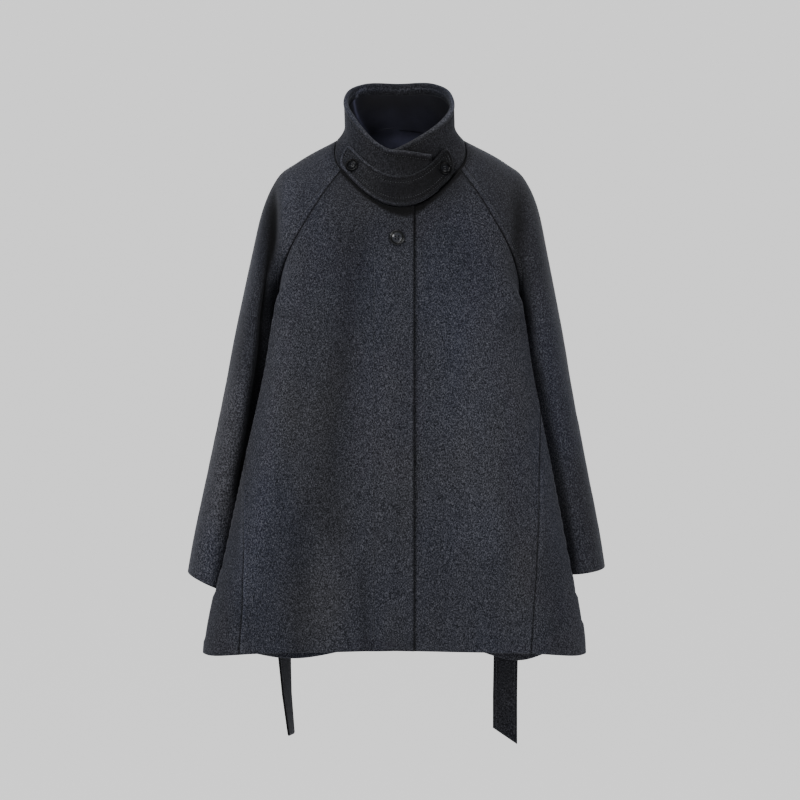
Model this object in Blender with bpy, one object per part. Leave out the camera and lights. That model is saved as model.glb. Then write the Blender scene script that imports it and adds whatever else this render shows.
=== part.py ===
"""Short A-line wool coat, filled out as if worn: raglan sleeves, a funnel collar with a throat
strap, a fly front with one button showing, in-seam pockets and a belt across the back.

Metres, +Z up, the front faces -Y. The origin lies between the shoulders at the base of the neck.
Every panel is a sheet of melton with its own thickness. Its outer face is worked out from the
section tables below, one row for each section from the neck down, and the wall is laid inwards.
"""

import bisect
import functools
import math

import bpy
import mathutils
import numpy as np

MM = 0.001

CLOTH = 2.5 * MM
DOUBLE_CLOTH = 5.0 * MM
LINING = 1.0 * MM
SEAM_GAP = 0.3 * MM
LAYER_GAP = 0.4 * MM

# The coat stands a little to one side: shift at the neck, and per metre below and above it.
LEAN_NECK = 4.5 * MM
LEAN_BELOW = 0.011
LEAN_ABOVE = -0.03

NECK = 12
UNDERARM = 240
CUFF = 637
HEM = 757

# Sections from the neck to the underarm, in millimetres, keyed by the depth of the front seam.
# centre_y, centre_z: centre front.  seam_x, seam_y: front raglan seam.  rear_x, rear_y, rear_z:
# back raglan seam.  back_y, back_z: centre back.  fold: 0 where body and sleeve run on
# smoothly, 1 where they part under the arm.
YOKE = (
    "down centre_y centre_z seam_x seam_y rear_x rear_y rear_z back_y back_z fold",
    (12, -95, -66, 92, -50, 76, 68, 28, 88, 38, 0.00),
    (38, -104, -96, 114, -78, 106, 95, -8, 106, -3, 0.00),
    (82, -114, -134, 143, -91, 141, 108, -62, 118, -55, 0.04),
    (128, -122, -168, 168, -82, 165, 101, -114, 121, -108, 0.20),
    (168, -128, -198, 181, -61, 180, 73, -162, 123, -156, 0.50),
    (208, -132.5, -222, 186, -29, 184, 40, -206, 125, -206, 0.85),
    (240, -135, -240, 182, 5, 182, 5, -240, 126, -240, 1.00),
)

# Sections from the underarm to the hem, in millimetres: depth of the centre front, half width at
# the sides before the arm presses them in, depth of the centre back.
SKIRT = (
    "down centre_y side_x back_y",
    (240, -135, 207, 126),
    (350, -147, 227, 133),
    (480, -157, 252, 144),
    (600, -163, 275, 156),
    (660, -165, 288, 163),
    (710, -167, 294.5, 169),
    (757, -168, 298, 174),
)
FULLNESS = 2.2

# How strongly a row keeps its direction: at the centre, across a raglan seam, over the shoulder,
# round the outside of the arm, and where the sleeve leaves the underarm.
CENTRE_PULL = 1.12
SEAM_PULL = 1.05
SHOULDER_PULL = 1.2
ARM_PULL = 4.0
ARM_PULL_LOSS = 1.4
UNDERARM_PULL = 0.5

# Sleeve sections in millimetres. top_x, top_y, top_z: the line over the shoulder and down the
# outside of the arm.  deep: half the depth of the tube, front to back.  inner_x, inner_y: the
# underarm seam, below the underarm.  cant_left, cant_right: how much lower the inside lies.
SLEEVE = (
    "down top_x top_y top_z deep inner_x inner_y cant_left cant_right",
    (12, 101, 4, 25, 40, 182, 5, 0, 0),
    (38, 131, 8, 11, 52, 182, 5, 0, 0),
    (82, 164, 9, -8, 64, 182, 5, 0, 0),
    (128, 192, 9, -31, 72, 182, 5, 0, 0),
    (168, 213, 9, -76, 76, 182, 5, 0, 0),
    (208, 230, 9, -152, 78, 182, 5, 0, 0),
    (240, 248, 8, -240, 77, 182, 5, 0, 0),
    (350, 268, 8, -350, 71, 195, 6, 3, 2),
    (480, 294, 7, -480, 64, 223, 6, 10, 4),
    (600, 318, 4, -600, 59, 248, 4, 24, 8),
    (637, 324, 2, -637, 57, 254, 2, 29, 10),
)
CUFF_RISE = {"left": 0.008, "right": -0.012}
SIDE_Y = 5

# The arm presses the body in: its clearance in millimetres, the length over which that grows
# below the underarm, how softly the hollow starts, and between which depths it ends.
ARM_CLEARANCE = 6.5
CLEARANCE_GROWS = 90
ARM_SOFTNESS = 9
ARM_FADES = (676, 755)

# Where the side seam runs on the front quarter of each section, 0 centre front, 1 trough.
SIDE_SEAM = (
    "down left right",
    (240, 0.995, 0.995),
    (350, 0.90, 0.79),
    (480, 0.73, 0.60),
    (600, 0.56, 0.46),
    (757, 0.45, 0.37),
)

# Height of the hem round the coat in millimetres, 0 centre front, 1 side, 2 centre back.
HEM_LINE = (
    "quarter z",
    (0.0, -748),
    (0.4, -754),
    (0.7, -762.5),
    (1.0, -758),
    (1.3, -766),
    (2.0, -767),
)

# Soft flare folds, in millimetres: middle of the fold, which face, half width, how far it stands
# out at the hem, how much lower the hem hangs there, and how far down the fold starts.
FLARES = (
    "x face wide out drop start",
    (-56, -1, 26, -3.0, 0, 470),
    (-196, -1, 40, 3.0, 0, 520),
    (150, -1, 44, 2.5, 0, 540),
    (-148, 1, 92, 11.0, 25, 380),
    (180, 1, 62, 10.0, 27, 400),
    (12, 1, 48, -8.0, 0, 330),
    (-245, 1, 34, -5.0, 0, 470),
    (262, 1, 30, -4.0, 0, 480),
    (-272, -1, 44, 4.0, 0, 520),
)
FLARE_EDGE = 20

# Height of the collar's rim in millimetres, by angle from the front: it starts at the end that
# lies underneath, goes round by the wearer's left and the nape, and ends past the front.
RIM = (
    "angle z",
    (-28, 12),
    (0, 26),
    (30, 44),
    (60, 64),
    (90, 87),
    (112, 106.5),
    (132, 113.5),
    (180, 113),
    (228, 113),
    (248, 106.5),
    (270, 90),
    (294, 73),
    (310, 54),
    (326, 36),
    (345, 23),
    (365, 20),
    (398, 13),
)
RIM_X = 85.5 * MM
RIM_Y = 75.0 * MM
COLLAR_OFFSET = 0.6 * MM
COLLAR_SPRING = {"side": 26 * MM, "front": 74 * MM}
COLLAR_STARTS = -28
COLLAR_ENDS = 398
LAYER_STEP = 5.8 * MM
COMES_OUT = (46, 90)
LINING_BELOW_RIM = 12 * MM
LINING_SHORT = 12

STRAP_FROM = -70
STRAP_TO = 61
STRAP_WIDTH = 46 * MM
STRAP_END_WIDTH = 38 * MM
STRAP_THICK = 4 * MM
STRAP_GAP = 0.7 * MM
STRAP_ABOVE_SEAM = 0.8 * MM
STRAP_REACH = 100 * MM
STRAP_BLUNT = 0.12
STRAP_BUTTONS = {"right": (-54, 14 * MM), "left": (48, 18 * MM)}  # angle, height above the seam
STRAP_BUTTON_RADIUS = 10.5 * MM
STRAP_BUTTON_LIFT = 1.1 * MM

FRONT_EDGE_X = 25 * MM
UNDERLAP_X = -50 * MM
UNDERLAP_STEP = 3.5 * MM
UNDERLAP_PAST = 8 * MM
UNDERLAP_BLEND = 38 * MM
FRONT_BUTTON_X = -1.5 * MM
FRONT_BUTTON_Z = -112.5 * MM
FRONT_BUTTON_RADIUS = 12 * MM

POCKET_TOP = -466 * MM
POCKET_LENGTH = 145 * MM
POCKET_GAPE = 1.6 * MM
BAG_COLUMNS = 6
BAG_RISE = 30 * MM
BAG_LENGTH = 245 * MM
BAG_THICK = 2.4 * MM

BELT_WIDTH = 38 * MM
BELT_THICK = 3.5 * MM
BELT_Z = -371 * MM
BELT_OFF = 0.9 * MM
BELT_NEAR = BELT_OFF + BELT_THICK / 2
BELT_FAR = BELT_NEAR + BELT_THICK + LAYER_GAP
FOLD_MARGIN = 3 * MM
FOLD_LIFT = 1.5 * MM
BELT_PAST_LOOP = 8 * MM
BELT_CLOSES = (60, 180)
LOOP_X = 122 * MM
LOOP_WIDTH = 11 * MM
LOOP_HEIGHT = 56 * MM
LOOP_THICK = 2 * MM
LOOP_RISE = 0.26

# The two belt ends in millimetres, from the fold at the waist down: x of the middle, height,
# how far the band has turned about its length, in degrees, and the slant of its cut end.
TAILS = {
    "left": ("x z turn", (-161, -371, 0), (-166, -480, 0), (-171, -600, 2), (-176, -690, 16),
             (-177, -785, 44), (-173, -850, 55), (-166, -914, 64)),
    "right": ("x z turn", (157, -371, 0), (161, -480, 0), (165, -600, 0), (168, -700, -4),
              (168, -790, -10), (167, -850, -12), (167, -912, -12)),
}
END_SLANT = {"left": 0.0, "right": 26 * MM}

UPPER_ROWS = 10
LOWER_ROWS = 9
SLEEVE_ROWS = 7
FRONT_COLUMNS = 9
BACK_COLUMNS = 24
SLEEVE_COLUMNS = 16
COLLAR_COLUMNS = 42
COLLAR_ROWS = 6
BELT_SECTIONS = 17
LOOP_SECTIONS = 15
BUTTON_TURNS = 20

COLOURS = {
    "melton": (0.030, 0.032, 0.039),
    "lining": (0.008, 0.008, 0.012),
    "button": (0.010, 0.010, 0.011),
}


def smooth(t):
    t = np.clip(t, 0.0, 1.0)
    return t * t * (3 - 2 * t)


@functools.lru_cache(maxsize=None)
def column(table, name):
    """Keys, values and slopes of one column of a table."""
    place = table[0].split().index(name)
    keys = [float(row[0]) for row in table[1:]]
    values = [float(row[place]) for row in table[1:]]
    return keys, values, list(np.gradient(values, keys))


TABLES = {
    "yoke": YOKE,
    "skirt": SKIRT,
    "sleeve": SLEEVE,
    "side_seam": SIDE_SEAM,
    "hem": HEM_LINE,
    "rim": RIM,
}


@functools.lru_cache(maxsize=None)
def read(table, name, key):
    """A column of a table at a key, along a smooth curve through its rows."""
    keys, values, slopes = column(TABLES[table], name)
    key = min(max(key, keys[0]), keys[-1])
    i = min(bisect.bisect_right(keys, key) - 1, len(keys) - 2)
    step = keys[i + 1] - keys[i]
    t = (key - keys[i]) / step
    return hermite(values[i], values[i + 1], slopes[i] * step, slopes[i + 1] * step, t)


def hermite(start, end, leave, arrive, t):
    return (
        start * (2 * t**3 - 3 * t**2 + 1)
        + leave * (t**3 - 2 * t**2 + t)
        + end * (3 * t**2 - 2 * t**3)
        + arrive * (t**3 - t**2)
    )


def lean(z):
    """Sideways shift at a height."""
    return LEAN_NECK + LEAN_BELOW * min(z, 0.0) + LEAN_ABOVE * max(z, 0.0)


def placed(point, side):
    """A point of the even half coat, in millimetres, put on its side of the leaning coat."""
    x, y, z = point[0] * MM, point[1] * MM, point[2] * MM
    return np.array([side * x + lean(z), y, z])


@functools.lru_cache(maxsize=4096)
def yoke_section(down):
    """The key points of a section above the underarm, in millimetres."""
    row = {name: read("yoke", name, down) for name in YOKE[0].split()[1:]}
    arm = {name: read("sleeve", name, down) for name in ("top_x", "top_y", "top_z", "deep")}
    front = np.array([0.0, row["centre_y"], row["centre_z"]])
    seam = np.array([row["seam_x"], row["seam_y"], -float(down)])
    top = np.array([arm["top_x"], arm["top_y"], arm["top_z"]])
    rear = np.array([row["rear_x"], row["rear_y"], row["rear_z"]])
    back = np.array([0.0, row["back_y"], row["back_z"]])
    return row["fold"], arm["deep"], front, seam, top, rear, back


def size(vector):
    return float(np.linalg.norm(vector))


def run_on(before, here, after):
    """Direction in which a smooth row passes a key point, per millimetre."""
    return (after - before) / (size(after - here) + size(here - before))


def soft_least(a, b, softness):
    near = max(softness - abs(a - b), 0.0) / softness
    return min(a, b) - near * near * softness / 4


def skirt_point(quarter, down):
    """A point of a section below the underarm, pressed in at the side where the arm hangs."""
    wide = read("skirt", "side_x", down)
    side = np.array([wide, SIDE_Y, -down])
    if quarter <= 1:
        deep = -read("skirt", "centre_y", down)
        front = np.array([0.0, -deep, -down])
        leave = np.array([FULLNESS * wide, 0.0, 0.0])
        arrive = np.array([0.0, FULLNESS * (deep + SIDE_Y), 0.0])
        point = hermite(front, side, leave, arrive, quarter)
    else:
        deep = read("skirt", "back_y", down)
        back = np.array([0.0, deep, -down])
        leave = np.array([0.0, FULLNESS * (deep - SIDE_Y), 0.0])
        arrive = np.array([-FULLNESS * wide, 0.0, 0.0])
        point = hermite(side, back, leave, arrive, quarter - 1)
    arm = {name: read("sleeve", name, min(down, CUFF)) for name in SLEEVE[0].split()[1:]}
    arm["inner_x"] = read("sleeve", "inner_x", max(min(down, CUFF) - arm["cant_left"], UNDERARM))
    clear = ARM_CLEARANCE * float(smooth((down - UNDERARM) / CLEARANCE_GROWS))
    middle = (arm["inner_x"] + arm["top_x"]) / 2
    half = (arm["top_x"] - arm["inner_x"]) / 2 + clear
    off = (point[1] - arm["inner_y"]) / (arm["deep"] + clear)
    if abs(off) < 1:
        pressed = soft_least(point[0], middle - half * math.sqrt(1 - off * off), ARM_SOFTNESS)
        fade = float(smooth((down - ARM_FADES[0]) / (ARM_FADES[1] - ARM_FADES[0])))
        point[0] += (pressed - point[0]) * (1 - fade)
    return point


def quarter_point(quarter, down):
    """A point of the half body: quarter 0 centre front, 1 seam or side, 2 centre back."""
    if down >= UNDERARM:
        return skirt_point(quarter, down)
    fold, _, front, seam, top, rear, back = yoke_section(down)
    _, _, low_front, low_seam, _, low_rear, low_back = yoke_section(UNDERARM)
    if quarter <= 1:
        length = size(seam - front)
        leave = np.array([CENTRE_PULL * length, 0.0, 0.0])
        arrive = SEAM_PULL * length * run_on(front, seam, top)
        open_point = hermite(front, seam, leave, arrive, quarter)
        share = float(smooth(quarter)) ** 2
        shift = (front - low_front) * (1 - share) + (seam - low_seam) * share
    else:
        length = size(back - rear)
        leave = SEAM_PULL * length * run_on(top, rear, back)
        arrive = np.array([-CENTRE_PULL * length, 0.0, 0.0])
        open_point = hermite(rear, back, leave, arrive, quarter - 1)
        share = float(smooth(2 - quarter)) ** 2
        shift = (back - low_back) * (1 - share) + (rear - low_rear) * share
    if fold == 0:
        return open_point
    return (1 - fold) * open_point + fold * (skirt_point(quarter, UNDERARM) + shift)


def body_point(side, quarter, down):
    """A point of the body's outer face in metres, with its flare folds and its hem line."""
    if quarter < 0:
        side, quarter = -side, -quarter
    if quarter > 2:
        side, quarter = -side, 4 - quarter
    x, y, z = quarter_point(quarter, down)
    share = max(0.0, (down - UNDERARM) / (HEM - UNDERARM))
    hem = read("hem", "z", quarter)
    face = -1 if quarter <= 1 else 1
    reach = math.hypot(x, y)
    for fold_x, fold_face, wide, out, drop, start in FLARES[1:]:
        near = math.exp(-(((side * x - fold_x) / wide) ** 2))
        near *= float(smooth((face * fold_face * abs(y) + FLARE_EDGE) / (3 * FLARE_EDGE)))
        hem -= drop * near
        grow = float(smooth((down - start) / (HEM - start)))
        x *= 1 + out * near * grow / reach
        y *= 1 + out * near * grow / reach
    if share > 0:
        z = -UNDERARM + share * (hem + UNDERARM)
    return placed((x, y, z), side)


def sleeve_point(side, round_arm, down):
    """A point of the sleeve: round_arm 0 front seam, 1 outer line, 2 back seam."""
    fold, deep, front, seam, top, rear, back = yoke_section(min(down, UNDERARM))
    if down > UNDERARM:
        values = [read("sleeve", name, down) for name in SLEEVE[0].split()[1:]]
        top_x, top_y, top_z, deep, inner_x, inner_y, cant_left, cant_right = values
        cant = cant_right if side > 0 else cant_left
        top_z += CUFF_RISE["left" if side > 0 else "right"] * (down - UNDERARM)
        top = np.array([top_x, top_y, top_z])
        seam = rear = np.array([inner_x, inner_y, top_z - cant])
    over = run_on(seam, top, rear) if down < UNDERARM else np.zeros(3)
    round_top = np.array([0.0, ARM_PULL * deep, 0.0])
    key, other = (seam, front) if round_arm <= 1 else (rear, back)
    length = size(top - key)
    fullness = ARM_PULL * deep - ARM_PULL_LOSS * abs(key[1] - SIDE_Y)
    if round_arm <= 1:
        open_leave = SEAM_PULL * length * run_on(other, key, top)
        fold_leave = np.array([UNDERARM_PULL * deep, -fullness, 0.0])
        leave = (1 - fold) * open_leave + fold * fold_leave
        arrive = (1 - fold) * SHOULDER_PULL * length * over + fold * round_top
        point = hermite(key, top, leave, arrive, round_arm)
    else:
        open_arrive = SEAM_PULL * length * run_on(top, key, other)
        fold_arrive = np.array([-UNDERARM_PULL * deep, -fullness, 0.0])
        leave = (1 - fold) * SHOULDER_PULL * length * over + fold * round_top
        arrive = (1 - fold) * open_arrive + fold * fold_arrive
        point = hermite(top, key, leave, arrive, round_arm - 1)
    return placed(point, side)


def rows_between(start, end, count):
    return [start + (end - start) * i / count for i in range(count + 1)]


def body_rows():
    return rows_between(NECK, UNDERARM, UPPER_ROWS) + rows_between(UNDERARM, HEM, LOWER_ROWS)[1:]


def quarter_at(side, x, down):
    """Where on a front section the coat has this x, found by halving."""
    low, high = -0.5, 0.8
    for _ in range(30):
        middle = (low + high) / 2
        if body_point(side, middle, down)[0] * side < x * side:
            low = middle
        else:
            high = middle
    return (low + high) / 2


def side_seam(side, down):
    if down <= UNDERARM:
        return 1.0
    return read("side_seam", "right" if side > 0 else "left", down)


def normals_of(grid):
    """Outward normals of a grid whose rows go down and whose columns go round to the left side."""
    normals = np.cross(np.gradient(grid, axis=0), np.gradient(grid, axis=1))
    return normals / np.linalg.norm(normals, axis=2, keepdims=True)


def body_normal(side, quarter, down):
    """Outward normal of the body, the same for two panels that meet at a seam."""
    step = 0.012
    before, after = quarter - step, quarter + step
    if down <= UNDERARM and quarter <= 1:
        after = min(after, 1.0)
    if down <= UNDERARM and quarter > 1:
        before = max(before, 1.0 + 1e-9)
    round_it = body_point(side, after, down) - body_point(side, before, down)
    above, below = max(down - 3, NECK), min(down + 3, HEM)
    fall = body_point(side, quarter, below) - body_point(side, quarter, above)
    normal = np.cross(fall, round_it) * side
    return normal / size(normal)


def drawn_in(grid, first=False, last=False):
    """The grid with its first or last column drawn in by half a seam gap."""
    grid = grid.copy()
    for wanted, edge, inner in ((first, 0, 1), (last, -1, -2)):
        if wanted:
            step = grid[:, inner] - grid[:, edge]
            step /= np.linalg.norm(step, axis=1, keepdims=True)
            grid[:, edge] += step * SEAM_GAP / 2
    return grid


def material(name):
    found = bpy.data.materials.get(name)
    if found:
        return found
    made = bpy.data.materials.new(name)
    made.use_nodes = True
    shader = made.node_tree.nodes["Principled BSDF"]
    shader.inputs["Base Color"].default_value = (*COLOURS[name], 1.0)
    shader.inputs["Roughness"].default_value = 0.28 if name == "button" else 0.95
    shader.inputs["Metallic"].default_value = 0.0
    return made


def make_object(name, points, faces, finish):
    mesh = bpy.data.meshes.new(name)
    mesh.from_pydata([tuple(point) for point in points], [], faces)
    mesh.validate()
    mesh.shade_smooth()
    mesh.set_sharp_from_angle(angle=math.radians(40))
    mesh.materials.append(material(finish))
    made = bpy.data.objects.new(name, mesh)
    bpy.context.scene.collection.objects.link(made)
    return made


def sheet(name, grid, thick, finish, normals=None):
    """A closed wall: the grid is its outer face and the inner one lies a thickness inside."""
    rows, columns = grid.shape[:2]
    normals = normals_of(grid) if normals is None else normals
    inner = grid - normals * thick
    points = np.concatenate([grid.reshape(-1, 3), inner.reshape(-1, 3)])
    half = rows * columns
    faces = []
    for r in range(rows - 1):
        for c in range(columns - 1):
            a = r * columns + c
            b, d, e = a + 1, a + columns, a + columns + 1
            faces.append((a, d, e, b))
            faces.append((half + a, half + b, half + e, half + d))
    border = list(range(columns))
    border += [r * columns + columns - 1 for r in range(1, rows)]
    border += [(rows - 1) * columns + c for c in range(columns - 2, -1, -1)]
    border += [r * columns for r in range(rows - 2, 0, -1)]
    for here, after in zip(border, border[1:] + border[:1]):
        # both panels at a seam split their edge faces along the same diagonal
        if points[here][2] > points[after][2]:
            faces += [(here, after, half + after), (here, half + after, half + here)]
        else:
            faces += [(here, after, half + here), (after, half + after, half + here)]
    return make_object(name, points, faces, finish)


def band(name, sections, thick, finish):
    """A closed flat band through sections, each one edge, the other edge and a normal."""
    points = []
    for first, second, normal in sections:
        lift = np.asarray(normal) * thick / 2
        points += [first - lift, first + lift, second + lift, second - lift]
    faces = [(0, 1, 2, 3)]
    for i in range(len(sections) - 1):
        for k in range(4):
            a, b = 4 * i + k, 4 * i + (k + 1) % 4
            faces.append((a, a + 4, b + 4, b))
    end = 4 * (len(sections) - 1)
    faces.append((end + 3, end + 2, end + 1, end))
    return make_object(name, points, faces, finish)


def front_grid(side):
    """Outer face and normals of one front, from its edge past the centre to its seams."""
    grid, normals = [], []
    edge_x = FRONT_EDGE_X if side < 0 else UNDERLAP_X
    for down in body_rows():
        start = quarter_at(side, edge_x, down)
        quarters = np.linspace(start, side_seam(side, down), FRONT_COLUMNS + 1)
        grid.append([body_point(side, quarter, down) for quarter in quarters])
        normals.append([body_normal(side, quarter, down) for quarter in quarters])
    grid, normals = np.array(grid), np.array(normals)
    return (grid, normals) if side > 0 else (grid[:, ::-1], normals[:, ::-1])


def step_under(grid, normals):
    """The left front, let in behind the right front where they overlap."""
    ends = FRONT_EDGE_X + UNDERLAP_PAST + UNDERLAP_BLEND
    share = smooth((ends - grid[:, :, 0:1]) / UNDERLAP_BLEND)
    return grid - normals * UNDERLAP_STEP * share


def gape(grid, normals, edge, inner):
    """The pocket mouth: the front's seam edge stands off the back's between two heights."""
    grid = grid.copy()
    along = (POCKET_TOP - grid[:, edge, 2]) / POCKET_LENGTH
    bulge = np.where((along > 0) & (along < 1), np.sin(np.pi * np.clip(along, 0, 1)), 0.0)
    step = grid[:, inner] - grid[:, edge]
    step /= np.linalg.norm(step, axis=1, keepdims=True)
    move = step * POCKET_GAPE + normals[:, edge] * 0.6 * POCKET_GAPE
    grid[:, edge] += move * bulge[:, None]
    return grid


def front_faces(side):
    """The finished outer face of one front, with its normals."""
    grid, normals = front_grid(side)
    if side < 0:
        return gape(drawn_in(grid, first=True), normals, 0, 1), normals
    grid = step_under(grid, normals)
    return gape(drawn_in(grid, last=True), normals, -1, -2), normals


def make_fronts():
    for side, name in ((-1, "front_right"), (1, "front_left")):
        grid, normals = front_faces(side)
        sheet(name, grid, CLOTH, "melton", normals)


def make_back():
    """The back, from the left side seam round to the right one."""
    grid, normals = [], []
    for down in body_rows():
        # above the underarm a row runs from one back raglan seam to the other
        start, end = 1.0 + 1e-9, 3.0 - 1e-9
        if down > UNDERARM:
            start, end = side_seam(1, down), 4 - side_seam(-1, down)
        quarters = np.linspace(start, end, BACK_COLUMNS + 1)
        grid.append([body_point(1, quarter, down) for quarter in quarters])
        normals.append([body_normal(1, quarter, down) for quarter in quarters])
    grid = drawn_in(np.array(grid), first=True, last=True)
    sheet("back", grid, CLOTH, "melton", np.array(normals))


def sleeve_grid(side):
    rows = rows_between(NECK, UNDERARM, UPPER_ROWS)
    rows += rows_between(UNDERARM, CUFF, SLEEVE_ROWS)[1:]
    steps = np.linspace(0.0, 2.0, SLEEVE_COLUMNS + 1)
    grid = np.array([[sleeve_point(side, t, down) for t in steps] for down in rows])
    return grid if side > 0 else grid[:, ::-1]


def make_sleeves():
    for side, name in ((-1, "sleeve_right"), (1, "sleeve_left")):
        sheet(name, drawn_in(sleeve_grid(side), first=True, last=True), CLOTH, "melton")


def neckline():
    """The neck edge of the panels as one ring: angle from the front, and the points."""
    points = [quarter_point(t, NECK) * MM for t in np.linspace(0, 1, 25)]
    points += [sleeve_half(t) for t in np.linspace(0, 2, 41)[1:]]
    points += [quarter_point(t, NECK) * MM for t in np.linspace(1, 2, 25)[1:]]
    points = np.array(points)
    angles = np.degrees(np.arctan2(points[:, 0], -points[:, 1]))
    return angles, points


def sleeve_half(round_arm):
    """The neck end of the sleeve on the even half coat."""
    point = sleeve_point(1, round_arm, NECK)
    return point - np.array([lean(point[2]), 0.0, 0.0])


NECK_ANGLES, NECK_POINTS = neckline()


def collar_point(angle, height, inset=0.0):
    """A point of the collar's outer face: height 0 at the neck seam, 1 at the rim."""
    turn = (angle + 180) % 360 - 180
    around = abs(turn)
    side = 1 if turn >= 0 else -1
    base = [float(np.interp(around, NECK_ANGLES, NECK_POINTS[:, i])) for i in range(3)]
    radians = math.radians(around)
    rim = 1 / math.hypot(math.sin(radians) / RIM_X, math.cos(radians) / RIM_Y)
    foot = math.hypot(base[0], base[1])
    low = base[2] + COLLAR_OFFSET
    z = low + (rim_height(angle) - low) * height
    spring = COLLAR_SPRING["side"]
    spring += (COLLAR_SPRING["front"] - spring) * math.cos(radians) ** 2
    reach = rim + (foot - rim) * (1 - min((z - low) / spring, 1.0)) ** 2 - inset
    x = side * reach * math.sin(radians)
    return np.array([x + lean(z), -reach * math.cos(radians), z])


def rim_height(angle):
    return read("rim", "z", float(angle)) * MM


def collar_inset(angle):
    """The end that starts underneath lies one layer in, and comes out to the full ring."""
    return LAYER_STEP * float(1 - smooth((angle - COMES_OUT[0]) / (COMES_OUT[1] - COMES_OUT[0])))


def collar_normal(angle, height, inset):
    """Outward normal of the collar's face."""
    across = collar_point(angle + 1, height, inset) - collar_point(angle - 1, height, inset)
    low, high = max(height - 0.02, 0.0), min(height + 0.02, 1.0)
    fall = collar_point(angle, low, inset) - collar_point(angle, high, inset)
    normal = np.cross(fall, across)
    if height == 0:
        normal[2] = 0.0  # the edge that is sewn on stays level
    return normal / size(normal)


def collar_grid():
    """Outer face and normals of the collar, its second row where the lining starts."""
    grid, normals = [], []
    for angle in np.linspace(COLLAR_STARTS, COLLAR_ENDS, COLLAR_COLUMNS + 1):
        tall = rim_height(angle) - collar_point(angle, 0.0)[2]
        heights = [1.0] + list(np.linspace(1 - LINING_BELOW_RIM / tall, 0.0, COLLAR_ROWS))
        inset = collar_inset(angle)
        grid.append([collar_point(angle, height, inset) for height in heights])
        normals.append([collar_normal(angle, height, inset) for height in heights])
    return np.array(grid).transpose(1, 0, 2), np.array(normals).transpose(1, 0, 2)


def make_collar():
    grid, normals = collar_grid()
    sheet("collar", grid, DOUBLE_CLOTH, "melton", normals)


def make_lining():
    """Lining on the inside of the collar, from below the rim down to the neck seam."""
    grid, normals = collar_grid()
    turn = (COLLAR_ENDS - COLLAR_STARTS) / COLLAR_COLUMNS
    last = int((360 - LINING_SHORT) / turn)
    grid, normals = grid[1:, :last], normals[1:, :last]
    inner = grid - normals * (DOUBLE_CLOTH + LAYER_GAP)
    sheet("collar_lining", inner, LINING, "lining", normals)


def strap_shape(t):
    """Lower and upper edge of the strap above the neck seam, rounded at both ends."""
    wide = STRAP_END_WIDTH + (STRAP_WIDTH - STRAP_END_WIDTH) * float(smooth(1 - abs(2 * t - 1)))
    length = math.radians(STRAP_TO - STRAP_FROM) * STRAP_REACH
    from_end = min(t, 1 - t) * length
    radius = wide / 2
    round_off = 1.0
    if from_end < radius:
        round_off = math.sqrt(max(STRAP_BLUNT, 1 - (1 - from_end / radius) ** 2))
    middle = STRAP_ABOVE_SEAM + wide / 2
    return middle - round_off * wide / 2, middle + round_off * wide / 2


def strap_face(angle, above_seam):
    """Outer face and normal of the strap at an angle and a height above the neck seam."""
    if angle < COLLAR_ENDS - 360:
        angle += 360  # over the collar's outer end
    height = above_seam / (rim_height(angle) - collar_point(angle, 0.0)[2])
    normal = collar_normal(angle, height, 0.0)
    return collar_point(angle, height) + normal * (STRAP_GAP + STRAP_THICK), normal


def make_strap():
    ends = [0.0, 0.012, 0.03, 0.06, 0.10, 0.15]
    steps = ends + list(np.linspace(0.22, 0.78, 9)) + [1 - t for t in reversed(ends)]
    grid, normals = [], []
    for t in steps:
        low, high = strap_shape(t)
        angle = STRAP_FROM + (STRAP_TO - STRAP_FROM) * t
        column = [strap_face(angle, above) for above in np.linspace(high, low, 4)]
        grid.append([point for point, _ in column])
        normals.append([normal for _, normal in column])
    grid, normals = np.array(grid), np.array(normals)
    grid, normals = grid.transpose(1, 0, 2), normals.transpose(1, 0, 2)
    sheet("collar_strap", grid, STRAP_THICK, "melton", normals)


def make_button(name, centre, normal, radius):
    """A four-hole button with a raised rim, lying on the cloth and facing along the normal."""
    thick = 0.28 * radius
    profile = [(0.0, 0.62 * thick), (0.62 * radius, 0.62 * thick), (0.74 * radius, thick)]
    profile += [(0.92 * radius, thick), (radius, 0.7 * thick), (radius, 0.3 * thick)]
    profile += [(0.86 * radius, 0.0), (0.0, 0.0)]
    turns = BUTTON_TURNS
    points = [np.array([0.0, 0.0, profile[0][1]]), np.array([0.0, 0.0, 0.0])]
    faces = []
    rings = profile[1:-1]
    for r, z in rings:
        for i in range(turns):
            angle = 2 * math.pi * i / turns
            points.append(np.array([r * math.cos(angle), r * math.sin(angle), z]))
    for i in range(turns):
        after = (i + 1) % turns
        faces.append((0, 2 + i, 2 + after))
        last = 2 + (len(rings) - 1) * turns
        faces.append((1, last + after, last + i))
        for k in range(len(rings) - 1):
            a, b = 2 + k * turns, 2 + (k + 1) * turns
            faces.append((a + i, b + i, b + after, a + after))
    button = make_object(name, points, faces, "button")
    for i in range(4):
        angle = math.pi / 4 + i * math.pi / 2
        bpy.ops.mesh.primitive_cylinder_add(vertices=6, radius=0.09 * radius, depth=4 * thick)
        drill = bpy.context.object
        drill.name = f"{name}_drill_{i}"
        drill.location = (0.24 * radius * math.cos(angle), 0.24 * radius * math.sin(angle), 0.0)
        drill.parent = button
        drill.hide_render = True
        drill.display_type = "WIRE"
        cut = button.modifiers.new(f"hole_{i}", "BOOLEAN")
        cut.object = drill
        cut.operation = "DIFFERENCE"
        cut.solver = "EXACT"
    x_axis = np.cross((0.0, 0.0, 1.0), normal)
    x_axis /= size(x_axis)
    y_axis = np.cross(normal, x_axis)
    place = np.eye(4)
    place[:3, 0], place[:3, 1], place[:3, 2] = x_axis, y_axis, normal
    place[:3, 3] = centre
    button.matrix_world = mathutils.Matrix(place.tolist())
    return button


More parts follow.
